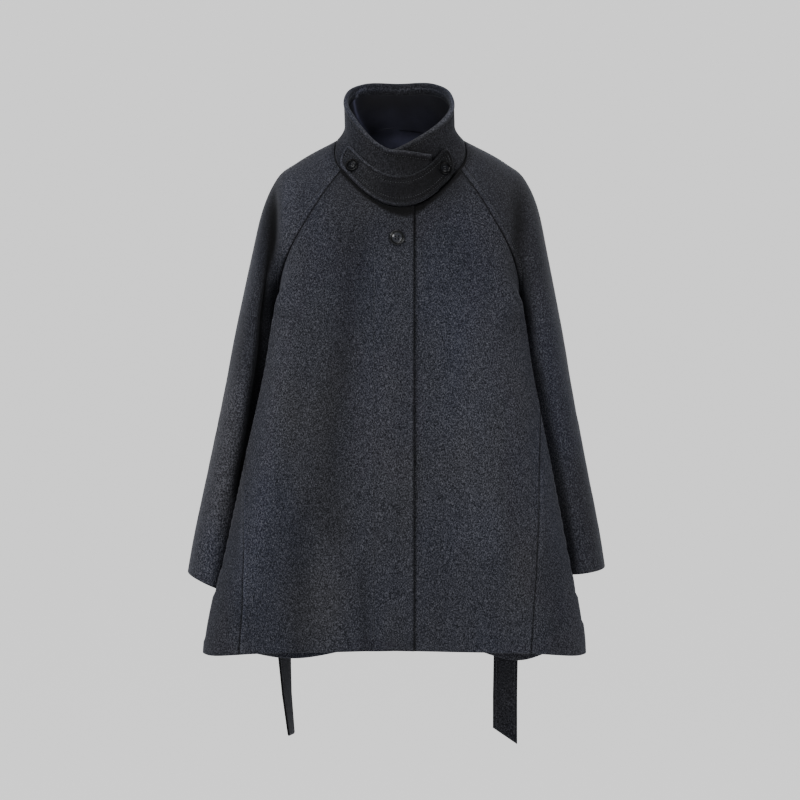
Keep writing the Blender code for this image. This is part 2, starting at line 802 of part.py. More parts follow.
def surface_at(side, x, z, back=False):
    """Point and outward normal of the body's outer face at an x and a height."""
    quarter = 1.6 if back else 0.4
    down = min(-z / MM, HEM)
    for _ in range(14):
        here = body_point(side, quarter, down)
        slope = (body_point(side, quarter + 0.01, down) - here)[0] / 0.01
        quarter += 0.9 * (x - here[0]) / slope
        quarter = min(max(quarter, 1.1 if back else -0.4), 2.6 if back else 0.95)
        down = min(max(down + 0.9 * (here[2] - z) / MM, NECK + 1.0), HEM)
    here = body_point(side, quarter, down)
    round_it = body_point(side, quarter + 0.01, down) - body_point(side, quarter - 0.01, down)
    below = here - body_point(side, quarter, down - 1.0)
    normal = np.cross(below, round_it) * side
    return here, normal / size(normal)


def make_buttons():
    point, normal = surface_at(1, FRONT_BUTTON_X, FRONT_BUTTON_Z)
    make_button("front_button", point + normal * LAYER_GAP, normal, FRONT_BUTTON_RADIUS)
    for side, (angle, height) in STRAP_BUTTONS.items():
        point, normal = strap_face(angle, height)
        centre = point + normal * STRAP_BUTTON_LIFT
        make_button(f"strap_button_{side}", centre, normal, STRAP_BUTTON_RADIUS)


def on_back(x, z, lift):
    """A point a little off the back's outer face, level with its height."""
    side = 1 if x >= 0 else -1
    point, normal = surface_at(side, x, z, back=True)
    flat = np.array([normal[0], normal[1], 0.0])
    flat /= size(flat)
    return point + flat * lift, flat


def make_belt():
    """The belt: across the back, folded down outside each loop, its two ends hanging."""
    left, right = (
        tail_sections(side, name) + fold_sections(side, name)
        for side, name in ((-1, "left"), (1, "right"))
    )
    band("belt", left + run_sections() + right[::-1], BELT_THICK, "melton")


def run_sections():
    """The stretch across the back, upper edge and lower edge at each place."""
    reach, half, sections = LOOP_X + BELT_PAST_LOOP, BELT_WIDTH / 2, []
    places = [(x, x) for x in np.linspace(-reach, reach, BELT_SECTIONS)]
    for side, name in ((-1, "left"), (1, "right")):
        fold = TAILS[name][1][0] * MM + side * np.array([-half, half])
        slanting = [side * reach + (fold - side * reach) * step / 3 for step in (1, 2)]
        places = slanting[::-1] + places if side < 0 else places + slanting
    for upper_x, lower_x in places:
        upper, normal = on_back(upper_x, BELT_Z + half, BELT_NEAR)
        lower, _ = on_back(lower_x, BELT_Z - half, BELT_NEAR)
        sections.append((upper, lower, normal))
    return sections


def fold_sections(side, name):
    """The slanting fold where the belt turns down over itself, from the end to the run."""
    x, half, sections = TAILS[name][1][0] * MM, BELT_WIDTH / 2, []
    for step in (2, 1, 0):
        lift = BELT_NEAR + FOLD_LIFT + (BELT_FAR - BELT_NEAR) * step / 2
        middle, normal = on_back(x, BELT_Z, lift)
        flat = side * np.array([normal[1], -normal[0], 0.0])
        slant = (flat - np.array([0.0, 0.0, 1.0])) * half
        away = (flat + np.array([0.0, 0.0, 1.0])) / math.sqrt(2)
        if step == 1:
            middle = middle + away * (BELT_THICK + LAYER_GAP) / 2
        facing = (normal, -away, -normal)[step]
        sections.append((middle - slant, middle + slant, facing))
    return sections


def tail_sections(side, name):
    """One end of the belt, from its cut end up to the fold at the waist."""
    table = TAILS[name]
    rows = [dict(zip(("x", "z", "turn"), row)) for row in table[1:]]
    drop = np.array([-row["z"] for row in rows], float)
    sections = []
    downs = np.linspace(drop[-1], drop[0] + (BELT_WIDTH / 2 + FOLD_MARGIN) / MM, BELT_SECTIONS)
    for i, down in enumerate(downs):
        x = float(np.interp(down, drop, [row["x"] for row in rows])) * MM
        turn = math.radians(float(np.interp(down, drop, [row["turn"] for row in rows])))
        z = -down * MM
        settles = (down - drop[0] - BELT_CLOSES[0]) / (BELT_CLOSES[1] - BELT_CLOSES[0])
        lift = BELT_FAR + (BELT_NEAR - BELT_FAR) * float(smooth(settles))
        lift += abs(math.sin(turn)) * BELT_WIDTH / 2
        middle, normal = on_back(x, z, lift)
        middle = np.array([x, middle[1], z])
        flat = side * np.array([normal[1], -normal[0], 0.0])
        across = flat * math.cos(turn) - normal * math.sin(turn)
        slant = np.array([0.0, 0.0, END_SLANT[name] / 2]) if i == 0 else np.zeros(3)
        outer = middle + across * BELT_WIDTH / 2 - slant
        inner = middle - across * BELT_WIDTH / 2 + slant
        facing = np.cross(across, (0.0, 0.0, 1.0)) * side
        sections.append((inner, outer, facing))
    return sections


def make_loops():
    """Two narrow loops that hold the belt to the back."""
    reach = BELT_OFF + BELT_THICK + LAYER_GAP + LOOP_THICK / 2
    for side, name in ((-1, "belt_loop_right"), (1, "belt_loop_left")):
        sections = []
        for t in np.linspace(-1.0, 1.0, LOOP_SECTIONS):
            z = BELT_Z + t * LOOP_HEIGHT / 2
            off = LOOP_THICK / 2 + LAYER_GAP
            off += (reach - off) * float(smooth((1 - abs(t)) / LOOP_RISE))
            inner, normal = on_back(side * LOOP_X - LOOP_WIDTH / 2, z, off)
            outer, _ = on_back(side * LOOP_X + LOOP_WIDTH / 2, z, off)
            sections.append((inner, outer, normal))
        band(name, sections, LOOP_THICK, "melton")


def make_pocket_bags():
    """Flat pocket bags behind the fronts, hanging inside from the pocket mouths."""
    for side, name in ((-1, "pocket_bag_right"), (1, "pocket_bag_left")):
        grid, normals = front_grid(side)
        z = grid[:, grid.shape[1] // 2, 2]
        rows = np.nonzero((z < POCKET_TOP + BAG_RISE) & (z > POCKET_TOP - BAG_LENGTH))[0]
        columns = slice(0, BAG_COLUMNS) if side < 0 else slice(-BAG_COLUMNS, None)
        grid = drawn_in(grid[:, columns], first=side < 0, last=side > 0)
        grid = grid[rows[0] : rows[-1] + 1] - normals[rows[0] : rows[-1] + 1, columns] * (
            CLOTH + 2 * LAYER_GAP
        )
        sheet(name, grid, BAG_THICK, "lining")


def clear_scene():
    for old in list(bpy.data.objects):
        bpy.data.objects.remove(old)


clear_scene()
make_fronts()
make_back()
make_sleeves()
make_collar()
make_lining()
make_strap()
make_buttons()
make_belt()
make_loops()
make_pocket_bags()
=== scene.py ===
import math

import bpy
import numpy as np
from mathutils import Matrix, Vector


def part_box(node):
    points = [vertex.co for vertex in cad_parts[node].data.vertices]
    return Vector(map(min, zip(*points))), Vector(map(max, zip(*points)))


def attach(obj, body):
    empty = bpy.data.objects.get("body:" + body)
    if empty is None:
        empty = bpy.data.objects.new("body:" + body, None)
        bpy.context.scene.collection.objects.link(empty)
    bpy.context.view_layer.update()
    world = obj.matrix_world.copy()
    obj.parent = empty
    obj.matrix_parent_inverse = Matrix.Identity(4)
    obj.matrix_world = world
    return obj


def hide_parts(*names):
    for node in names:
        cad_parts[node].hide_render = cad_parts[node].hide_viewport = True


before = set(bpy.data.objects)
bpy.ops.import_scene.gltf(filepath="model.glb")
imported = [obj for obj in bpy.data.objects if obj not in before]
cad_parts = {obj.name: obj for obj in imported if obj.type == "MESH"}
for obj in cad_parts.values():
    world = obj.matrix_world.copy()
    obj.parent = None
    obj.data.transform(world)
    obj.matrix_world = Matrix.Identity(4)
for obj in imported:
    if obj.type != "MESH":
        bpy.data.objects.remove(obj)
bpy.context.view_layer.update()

mm = 0.001

# Sizes of the cut are in millimetres of the even half coat: x away from the middle, y from front
# to back, z up from the base of the neck. The first row of a table names its columns, and there
# left and right are as seen from the front. Everywhere else they are the coat's own, so side -1 is
# right and side 1 is left.
bodyCut = {
    "neck": 12,
    "underarm": 240,
    "hem": 757,
    "cloth": 2.5 * mm,
    "yoke": (
        "down centreY centreZ seamX seamY rearX rearY rearZ backY backZ fold",
        (12, -95, -66, 92, -50, 76, 68, 28, 88, 38, 0.00),
        (38, -104, -96, 114, -78, 106, 95, -8, 106, -3, 0.00),
        (82, -114, -134, 143, -91, 141, 108, -62, 118, -55, 0.04),
        (128, -122, -168, 168, -82, 165, 101, -114, 121, -108, 0.20),
        (168, -128, -198, 181, -61, 180, 73, -162, 123, -156, 0.50),
        (208, -132.5, -222, 186, -29, 184, 40, -206, 125, -206, 0.85),
        (240, -135, -240, 182, 5, 182, 5, -240, 126, -240, 1.00),
    ),
    "skirt": (
        "down centreY sideX backY",
        (240, -135, 207, 126),
        (350, -147, 227, 133),
        (480, -157, 252, 144),
        (600, -163, 275, 156),
        (660, -165, 288, 163),
        (710, -167, 294.5, 169),
        (757, -168, 298, 174),
    ),
    "fullness": 2.2,
    "centrePull": 1.12,
    "seamPull": 1.05,
    "sideY": 5,
    "lean": (4.5 * mm, 0.011, -0.03),  # at the neck, per metre below it, per metre above it
    "sideSeam": (
        "down left right",
        (240, 0.995, 0.995),
        (350, 0.90, 0.79),
        (480, 0.73, 0.612),
        (540, 0.655, 0.562),
        (600, 0.59, 0.517),
        (680, 0.533, 0.455),
        (757, 0.517, 0.424),
    ),
    "hemLine": (
        "quarter z",
        (0.0, -748),
        (0.4, -754),
        (0.7, -762.5),
        (1.0, -758),
        (1.3, -766),
        (2.0, -767),
    ),
    "flares": (
        "x face wide out drop start",
        (-56, -1, 26, -3.0, 0, 470),
        (-196, -1, 40, 3.0, 0, 520),
        (150, -1, 44, 2.5, 0, 540),
        (-148, 1, 92, 11.0, 25, 380),
        (180, 1, 62, 10.0, 27, 400),
        (12, 1, 48, -8.0, 0, 330),
        (-245, 1, 34, -5.0, 0, 470),
        (262, 1, 30, -4.0, 0, 480),
        (-272, -1, 40, 13.0, 0, 610),
        (272, -1, 40, 10.5, 0, 635),
    ),
    "flareEdge": 20,
    "hemTurn": 38 * mm,
    "hemDouble": 1.6 * mm,
}
armCut = {
    "cuff": 637,
    "arm": (
        "down topX topY topZ deep innerX innerY cantLeft cantRight",
        (12, 101, 4, 25, 40, 182, 5, 0, 0),
        (38, 131, 8, 11, 52, 182, 5, 0, 0),
        (82, 164, 9, -8, 64, 182, 5, 0, 0),
        (128, 192, 9, -31, 72, 182, 5, 0, 0),
        (168, 213, 9, -76, 76, 182, 5, 0, 0),
        (208, 230, 9, -152, 78, 182, 5, 0, 0),
        (240, 248, 8, -240, 77, 182, 5, 0, 0),
        (350, 268, 8, -350, 71, 195, 6, 3, 2),
        (480, 294, 7, -480, 64, 223, 6, 10, 4),
        (600, 318, 4, -600, 59, 248, 4, 24, 8),
        (637, 324, 2, -637, 57, 254, 2, 29, 10),
    ),
    "cuffRise": {1: 0.008, -1: -0.012},
    "shoulderPull": 1.2,
    "armPull": 4.0,
    "armPullLoss": 1.4,
    "underarmPull": 0.5,
    "clearance": 6.5,
    "clearanceGrows": 90,
    "softness": 9,
    "fades": (664, 790),
    "topstitch": 11 * mm,
}


def smooth(t):
    t = np.clip(t, 0.0, 1.0)
    return t * t * (3 - 2 * t)


def between(value, start, end):  # 0 up to start, 1 from end on
    return smooth((value - start) / (end - start))


def band(distance, away, width, amount):
    # a soft ridge, dip, or band of painted light or shade along a line; tables of lifts and tones give
    # the last three, or the last two where another size says how far away
    return amount * np.exp(-(((distance - away) / width) ** 2))


def hermite(start, end, leave, arrive, t):
    return (
        start * (2 * t**3 - 3 * t**2 + 1)
        + leave * (t**3 - 2 * t**2 + t)
        + end * (3 * t**2 - 2 * t**3)
        + arrive * (t**3 - t**2)
    )


def column(table, name, keys):  # a smooth curve through one column of a table
    place = table[0].split().index(name)
    at = np.array([row[0] for row in table[1:]], float)
    values = np.array([row[place] for row in table[1:]], float)
    slopes = np.gradient(values, at)
    keys = np.clip(keys, at[0], at[-1])
    i = np.clip(np.searchsorted(at, keys, side="right") - 1, 0, len(at) - 2)
    step = at[i + 1] - at[i]
    t = (keys - at[i]) / step
    return hermite(values[i], values[i + 1], slopes[i] * step, slopes[i + 1] * step, t)


def vec(x, y, z):
    return np.stack(np.broadcast_arrays(np.asarray(x, float), y, z), axis=-1)


def lengthOf(v):
    return np.linalg.norm(v, axis=-1, keepdims=True)


def leanAt(z):
    neck, below, above = bodyCut["lean"]
    return neck + below * np.minimum(z, 0.0) + above * np.maximum(z, 0.0)


def placed(point, side):  # from the even half coat to its side of the leaning coat, in metres
    x, y, z = (point[..., k] * mm for k in range(3))
    return vec(side * x + leanAt(z), y, z)


def runOn(before, here, after):
    return (after - before) / (lengthOf(after - here) + lengthOf(here - before))


def yokeKeys(down):
    def body(name):
        return column(bodyCut["yoke"], name, down)

    def arm(name):
        return column(armCut["arm"], name, down)

    front = vec(0, body("centreY"), body("centreZ"))
    seam = vec(body("seamX"), body("seamY"), -down)
    top = vec(arm("topX"), arm("topY"), arm("topZ"))
    rear = vec(body("rearX"), body("rearY"), body("rearZ"))
    back = vec(0, body("backY"), body("backZ"))
    return body("fold")[..., None], front, seam, top, rear, back


def skirtPoint(quarter, down):  # below the underarm, pressed in at the side by the arm
    wide = column(bodyCut["skirt"], "sideX", down)
    frontY = column(bodyCut["skirt"], "centreY", down)
    backY = column(bodyCut["skirt"], "backY", down)
    full, sideY, t = bodyCut["fullness"], bodyCut["sideY"], quarter[..., None]
    front, side, back = vec(0, frontY, -down), vec(wide, sideY, -down), vec(0, backY, -down)
    toSide = hermite(front, side, vec(full * wide, 0, 0), vec(0, full * (sideY - frontY), 0), t)
    toBack = hermite(side, back, vec(0, full * (backY - sideY), 0), vec(-full * wide, 0, 0), t - 1)
    point = np.where(t <= 1, toSide, toBack)
    arm, low = armCut["arm"], np.minimum(down, armCut["cuff"])
    canted = np.maximum(low - column(arm, "cantLeft", low), bodyCut["underarm"])
    innerX, topX = column(arm, "innerX", canted), column(arm, "topX", low)
    clear = armCut["clearance"] * smooth((down - bodyCut["underarm"]) / armCut["clearanceGrows"])
    off = (point[..., 1] - column(arm, "innerY", low)) / (column(arm, "deep", low) + clear)
    half = (topX - innerX) / 2 + clear
    hollow = (innerX + topX) / 2 - half * np.sqrt(np.clip(1 - off * off, 0, 1))
    soft, x = armCut["softness"], point[..., 0]
    near = np.maximum(soft - np.abs(x - hollow), 0) / soft
    pressed = np.minimum(x, hollow) - near * near * soft / 4
    pressed = x + (pressed - x) * (1 - between(down, *armCut["fades"]))
    return vec(np.where(np.abs(off) < 1, pressed, x), point[..., 1], point[..., 2])


def quarterPoint(quarter, down):  # quarter 0 centre front, 1 seam or side, 2 centre back
    underarm = bodyCut["underarm"]
    high = np.minimum(down, underarm)
    fold, front, seam, top, rear, back = yokeKeys(high)
    level = np.full(down.shape, float(underarm))
    _, lowFront, lowSeam, _, lowRear, lowBack = yokeKeys(level)
    t = quarter[..., None]
    span = lengthOf(seam - front)
    leave, arrive = bodyCut["centrePull"] * span * (1, 0, 0), bodyCut["seamPull"] * span
    toSeam = hermite(front, seam, leave, arrive * runOn(front, seam, top), t)
    span = lengthOf(back - rear)
    leave, arrive = bodyCut["seamPull"] * span, -bodyCut["centrePull"] * span * (1, 0, 0)
    toBack = hermite(rear, back, leave * runOn(top, rear, back), arrive, t - 1)
    share = smooth(t) ** 2
    shift = (front - lowFront) * (1 - share) + (seam - lowSeam) * share
    share = smooth(2 - t) ** 2
    backShift = (back - lowBack) * (1 - share) + (rear - lowRear) * share
    opened = np.where(t <= 1, toSeam, toBack)
    folded = skirtPoint(quarter, level) + np.where(t <= 1, shift, backShift)
    upper = (1 - fold) * opened + fold * folded
    below = (down >= underarm)[..., None]
    return np.where(below, skirtPoint(quarter, np.maximum(down, underarm)), upper)


def bodyPoint(side, quarter, down):  # outer face in metres, with flare folds and hem line
    quarter, down = np.broadcast_arrays(np.asarray(quarter, float), np.asarray(down, float))
    side = np.where((quarter < 0) | (quarter > 2), -side, side)
    quarter = np.where(quarter < 0, -quarter, np.where(quarter > 2, 4 - quarter, quarter))
    point = quarterPoint(quarter, down)
    x, y, z = (point[..., k] for k in range(3))
    underarm, hem, edge = bodyCut["underarm"], bodyCut["hem"], bodyCut["flareEdge"]
    hemZ = column(bodyCut["hemLine"], "z", quarter)
    face, reach = np.where(quarter <= 1, -1, 1), np.hypot(x, y)
    for foldX, foldFace, wide, out, drop, start in bodyCut["flares"][1:]:
        near = band(side * x, foldX, wide, 1.0)
        near = near * smooth((face * foldFace * np.abs(y) + edge) / (3 * edge))
        hemZ = hemZ - drop * near
        grow = 1 + out * near * between(down, start, hem) / reach
        x, y = x * grow, y * grow
    share = (down - underarm) / (hem - underarm)
    z = np.where(share > 0, -underarm + share * (hemZ + underarm), z)
    return placed(vec(x, y, z), side)


def sleevePoint(side, roundArm, down):  # roundArm 0 front seam, 1 outer line, 2 back seam
    roundArm, down = np.broadcast_arrays(np.asarray(roundArm, float), np.asarray(down, float))
    underarm, arm = bodyCut["underarm"], armCut["arm"]
    fold, front, seam, top, rear, back = yokeKeys(np.minimum(down, underarm))
    low = (down > underarm)[..., None]
    topZ = column(arm, "topZ", down)
    topZ = topZ + armCut["cuffRise"][side] * np.maximum(down - underarm, 0)
    cant = column(arm, "cantRight" if side > 0 else "cantLeft", down)
    lowTop = vec(column(arm, "topX", down), column(arm, "topY", down), topZ)
    lowSeam = vec(column(arm, "innerX", down), column(arm, "innerY", down), topZ - cant)
    deep = column(arm, "deep", down)
    over = np.where((down >= underarm)[..., None], 0, runOn(seam, top, rear))
    top, seam = np.where(low, lowTop, top), np.where(low, lowSeam, seam)
    rear = np.where(low, lowSeam, rear)
    t = roundArm[..., None]
    first = t <= 1
    key, other = np.where(first, seam, rear), np.where(first, front, back)
    span = lengthOf(top - key)
    full = armCut["armPull"] * deep
    crown = (1 - fold) * armCut["shoulderPull"] * span * over + fold * vec(0, full, 0)
    across = np.where(first, runOn(other, key, top), runOn(top, key, other))
    loss = armCut["armPullLoss"] * np.abs(key[..., 1] - bodyCut["sideY"])
    inward = np.where(roundArm <= 1, 1, -1) * armCut["underarmPull"] * deep
    edge = (1 - fold) * (bodyCut["seamPull"] * span * across) + fold * vec(inward, loss - full, 0)
    toTop = hermite(key, top, edge, crown, t)
    toSeam = hermite(top, key, crown, edge, t - 1)
    return placed(np.where(first, toTop, toSeam), side)


def sideSeamAt(side, down):
    name = "right" if side > 0 else "left"
    return np.where(down <= bodyCut["underarm"], 1.0, column(bodyCut["sideSeam"], name, down))


print("shape of the coat is ready")


# Walls: a grid of points is the outer face, its rows go down and its columns go round towards
# the left side. The edges roll in to the middle of the cloth.
def normalsOf(grid):
    normals = np.cross(np.gradient(grid, axis=0), np.gradient(grid, axis=1))
    return normals / np.maximum(lengthOf(normals), 1e-12)


def reachAlong(grid, axis):  # distance from the first and from the last row or column
    steps = np.linalg.norm(np.diff(grid, axis=axis), axis=-1)
    start = np.zeros([1 if k == axis else n for k, n in enumerate(steps.shape)])
    run = np.concatenate([start, np.cumsum(steps, axis=axis)], axis=axis)
    return run, np.take(run, [-1], axis=axis) - run


def rolled(distance, radius):
    return 1 - np.sqrt(1 - (1 - np.minimum(distance / radius, 1)) ** 2)


def placeObject(name, data):
    made = bpy.data.objects.new(name, data)
    bpy.context.scene.collection.objects.link(made)
    return made


def meshObject(name, points, faces, finishes, indices=None, tone=None):
    mesh = bpy.data.meshes.new(name)
    mesh.from_pydata(points.tolist(), [], faces.tolist() if hasattr(faces, "tolist") else faces)
    for finish in finishes:
        mesh.materials.append(finish)
    if indices is not None:
        mesh.polygons.foreach_set("material_index", indices.astype(np.int32))
    # the tone attribute holds painted light and shade
    if tone is not None:
        values = mesh.attributes.new("tone", "FLOAT", "POINT").data
        values.foreach_set("value", tone.astype(np.float32))
    mesh.shade_smooth()
    mesh.update()
    return placeObject(name, mesh)


quadCorners = [
    (slice(None, -1), slice(None, -1)),
    (slice(1, None), slice(None, -1)),
    (slice(1, None), slice(1, None)),
    (slice(None, -1), slice(1, None)),
]
# the darkest painted shade
darkest = -0.95


def wall(
    name, face, thick, rolls, finishes, normals=None, edgeDrop=None, lined=None, tone=0, innerTone=None
):
    # rolls are the radii of the top, bottom, first and last edge, and edgeDrop stands in for them
    # on a piece with other edges; lined says where the inside has the second finish; tone is the
    # painted light and shade that lightens or darkens the finish, inside as outside if there is no
    # innerTone
    normals = normalsOf(face) if normals is None else normals
    thick = np.broadcast_to(thick, face.shape[:2])
    if edgeDrop is None:
        top, bottom = reachAlong(face, 0)
        first, last = reachAlong(face, 1)
        edgeDrop = np.max([rolled(d, r) for d, r in zip((top, bottom, first, last), rolls)], axis=0)
    half = (thick * edgeDrop / 2)[..., None]
    outer = face - normals * half
    inner = face - normals * (thick[..., None] - half)
    rows, columns = face.shape[:2]
    index = np.arange(rows * columns).reshape(rows, columns)
    border = np.ones((rows, columns), bool)
    border[1:-1, 1:-1] = False
    back = np.where(border, index, index + rows * columns)
    used = np.concatenate([np.ones(rows * columns, bool), ~border.ravel()])
    renumber = np.cumsum(used) - 1
    points = np.concatenate([outer.reshape(-1, 3), inner.reshape(-1, 3)])[used]
    a, b, c, d = (renumber[index[i, j]] for i, j in quadCorners)
    e, f, g, h = (renumber[back[i, j]] for i, j in quadCorners)
    faces = np.concatenate([np.stack(q, -1).reshape(-1, 4) for q in ((a, b, c, d), (e, h, g, f))])
    indices = np.zeros(len(faces), int)
    if lined is not None:
        indices[len(faces) // 2 :] = lined[:-1, :-1].ravel()
    innerTone = tone if innerTone is None else innerTone
    tones = [np.broadcast_to(layer, face.shape[:2]).ravel() for layer in (tone, innerTone)]
    tones = np.maximum(np.concatenate(tones), darkest)[used]
    return meshObject(name, points, faces, finishes, indices, tones)


# How the columns of a grid close up towards a seam, and towards one with a row of topstitching.
plainEdge = np.array([0, 0.2, 0.5, 0.9, 1.4, 2.1, 3.2, 5, 7.5]) * mm
stitchedEdge = np.array([0, 0.2, 0.5, 0.9, 1.4, 2.1, 3.2, 5, 7, 9, 10.1, 11, 11.9, 13, 15.5]) * mm


def spread(pointAt, start, end, down, startSteps, endSteps, middle):
    # columns between two edges of each row, at real distances near the edges
    span = (end - start) * 0.004
    startScale = lengthOf(pointAt(start + span, down) - pointAt(start, down))[..., 0] / span
    endScale = lengthOf(pointAt(end - span, down) - pointAt(end, down))[..., 0] / span
    near = start[:, None] + startSteps / startScale[:, None]
    far = end[:, None] - endSteps[::-1] / endScale[:, None]
    t = np.linspace(0, 1, middle + 2)[1:-1]
    inner = near[:, -1:] + (far[:, :1] - near[:, -1:]) * t
    return np.concatenate([near, inner, far], axis=1)


def pathDistance(points, path):  # distance to a bent line, and how far along it, 0 to 1
    path = np.array(path, float) * mm
    lengths = np.linalg.norm(np.diff(path, axis=0), axis=1)
    total, run = lengths.sum(), 0.0
    best = np.full(points.shape[:-1], 1e9)
    along = np.zeros(points.shape[:-1])
    side = np.zeros(points.shape[:-1])
    for a, b, size in zip(path[:-1], path[1:], lengths):
        t = np.clip(((points - a) @ (b - a)) / size**2, 0, 1)
        off = points - (a + t[..., None] * (b - a))
        distance = np.linalg.norm(off, axis=-1)
        closer = distance < best
        best = np.where(closer, distance, best)
        along = np.where(closer, (run + t * size) / total, along)
        turn = (b - a)[0] * off[..., 1] - (b - a)[1] * off[..., 0]
        side = np.where(closer, np.sign(turn), side)
        run += size
    return best, along, side, total


creaseCut = {
    "ends": 70 * mm,
    "endShare": 0.3,  # of the whole crease, when it is short
    "ridgeAway": 1.7,  # in widths of the trough
    "ridgeWide": 1.2,
    "roundSide": (-0.15, 0.35),  # fades between these on cloth that turns away to the side
}


def creased(face, normals, frontCreases, backCreases=()):
    # soft troughs, each with a low ridge on one side, as they lie in the front and in the back
    # view; a negative depth is a ridge. Returns the lift and the tone, which is painted shade and
    # painted light: each crease's shade is painted over its trough, half of it the other way over its
    # bank.
    cut, flat = creaseCut, face[..., (0, 2)]
    lift, tone = np.zeros(face.shape[:2]), np.zeros(face.shape[:2])
    for creases, outwards in ((frontCreases, -1), (backCreases, 1)):
        facing = between(outwards * normals[..., 1], *cut["roundSide"])
        for path, wide, deep, ridge, shade in creases:
            distance, along, side, total = pathDistance(flat, path)
            ends = min(cut["endShare"], cut["ends"] / total)
            taper = smooth(along / ends) * smooth((1 - along) / ends) * facing
            off = side * distance / (wide * mm)
            trough = np.exp(-(off**2))
            away = off - cut["ridgeAway"] * np.sign(ridge)
            bank = abs(ridge) * np.exp(-(away**2) / cut["ridgeWide"])
            lift += deep * mm * (bank - trough) * taper
            # painted shade over the trough and painted light over the bank, the other way round where
            # the shade is positive
            tone += shade * (trough - 0.5 * bank) * taper
    return lift, tone


print("tools for the walls are ready")


# Finishes: charcoal melton with a fine heather, near-black lining, polished button, thread.
finishes = {
    "melton": {
        "ground": (0.0104, 0.0115, 0.0174),
        "neutral": (0.0138, 0.0139, 0.0164),
        "speck": (0.0475, 0.0485, 0.057),
        "shadowSpeck": (0.0012, 0.0014, 0.0022),
        "grain": 620,
        "fibre": 1300,
        "cloudy": 7,
        "surface": {
            "Roughness": 0.94,
            "Specular IOR Level": 0.10,
            "Sheen Weight": 0.05,
            "Sheen Roughness": 0.45,
            "Sheen Tint": (0.75, 0.78, 0.9, 1),
        },
    },
    "doubled": {"collar": 0.60, "strap": 0.26},  # painted shade: how light the copies of the melton for the collar and belt, and for the strap, are
    "lining": {
        "ground": (0.0072, 0.0074, 0.0132),
        "thread": (0.0128, 0.0132, 0.0216),
        "twill": 420,
        "cloudy": 40,
        "surface": {"Roughness": 0.75, "Specular IOR Level": 0.12},
    },
    "button": {
        "ground": (0.009, 0.0096, 0.012),
        "streak": (0.018, 0.019, 0.023),
        "streaks": 160,
        "scratches": 900,
        "frontGloss": 0.15,
        "strapGloss": 0.06,
    },
    "thread": {"sewing": (0.017, 0.018, 0.022), "tie": (0.004, 0.0042, 0.005), "twist": 2600},
}


def nodeMaterial(name, surface):  # surface: the numbers that are the same all over it
    made = bpy.data.materials.new(name)
    made.use_nodes = True
    tree = made.node_tree
    shader = tree.nodes["Principled BSDF"]
    for socket, value in surface.items():
        shader.inputs[socket].default_value = value
    coords = tree.nodes.new("ShaderNodeTexCoord")
    return made, tree, shader, coords.outputs["Object"]


def noiseNode(tree, vector, scale, detail=2.0, rough=0.5, squeeze=(1, 1, 1)):
    mapping = tree.nodes.new("ShaderNodeMapping")
    mapping.inputs["Scale"].default_value = squeeze
    tree.links.new(vector, mapping.inputs["Vector"])
    noise = tree.nodes.new("ShaderNodeTexNoise")
    noise.inputs["Scale"].default_value = scale
    noise.inputs["Detail"].default_value = detail
    noise.inputs["Roughness"].default_value = rough
    tree.links.new(mapping.outputs["Vector"], noise.inputs["Vector"])
    return noise.outputs["Fac"]


def rampNode(tree, fac, stops):
    ramp = tree.nodes.new("ShaderNodeValToRGB")
    while len(ramp.color_ramp.elements) < len(stops):
        ramp.color_ramp.elements.new(0.5)
    for element, (place, colour) in zip(ramp.color_ramp.elements, stops):
        element.position = place
        element.color = (*colour, 1.0)
    tree.links.new(fac, ramp.inputs["Fac"])
    return ramp.outputs["Color"]


def feed(tree, socket, value):  # a socket takes a link or a fixed value
    if isinstance(value, bpy.types.NodeSocket):
        tree.links.new(value, socket)
    else:
        socket.default_value = value


def mixNode(tree, fac, first, second, blend="MIX"):
    mix = tree.nodes.new("ShaderNodeMix")
    mix.data_type = "RGBA"
    mix.blend_type = blend
    for place, value in ((0, fac), (6, first), (7, second)):
        feed(tree, mix.inputs[place], value)
    return mix.outputs[2]


def bumpNode(tree, height, strength, distance, under=None):
    bump = tree.nodes.new("ShaderNodeBump")
    bump.inputs["Strength"].default_value = strength
    bump.inputs["Distance"].default_value = distance
    tree.links.new(height, bump.inputs["Height"])
    if under:
        tree.links.new(under, bump.inputs["Normal"])
    return bump.outputs["Normal"]


def greys(*stops):
    return [(place, (grey,) * 3) for place, grey in stops]


def withTone(tree, colour):  # the painted light and shade held on the mesh as its tone lightens or darkens a colour
    own = tree.nodes.new("ShaderNodeAttribute")
    own.attribute_name = "tone"
    more = tree.nodes.new("ShaderNodeVectorMath")
    more.operation = "ADD"
    more.inputs[1].default_value = (1, 1, 1)
    tree.links.new(own.outputs["Fac"], more.inputs[0])
    return mixNode(tree, 1.0, colour, more.outputs[0], "MULTIPLY")


def scaled(colour, by):
    return tuple(c * by for c in colour)


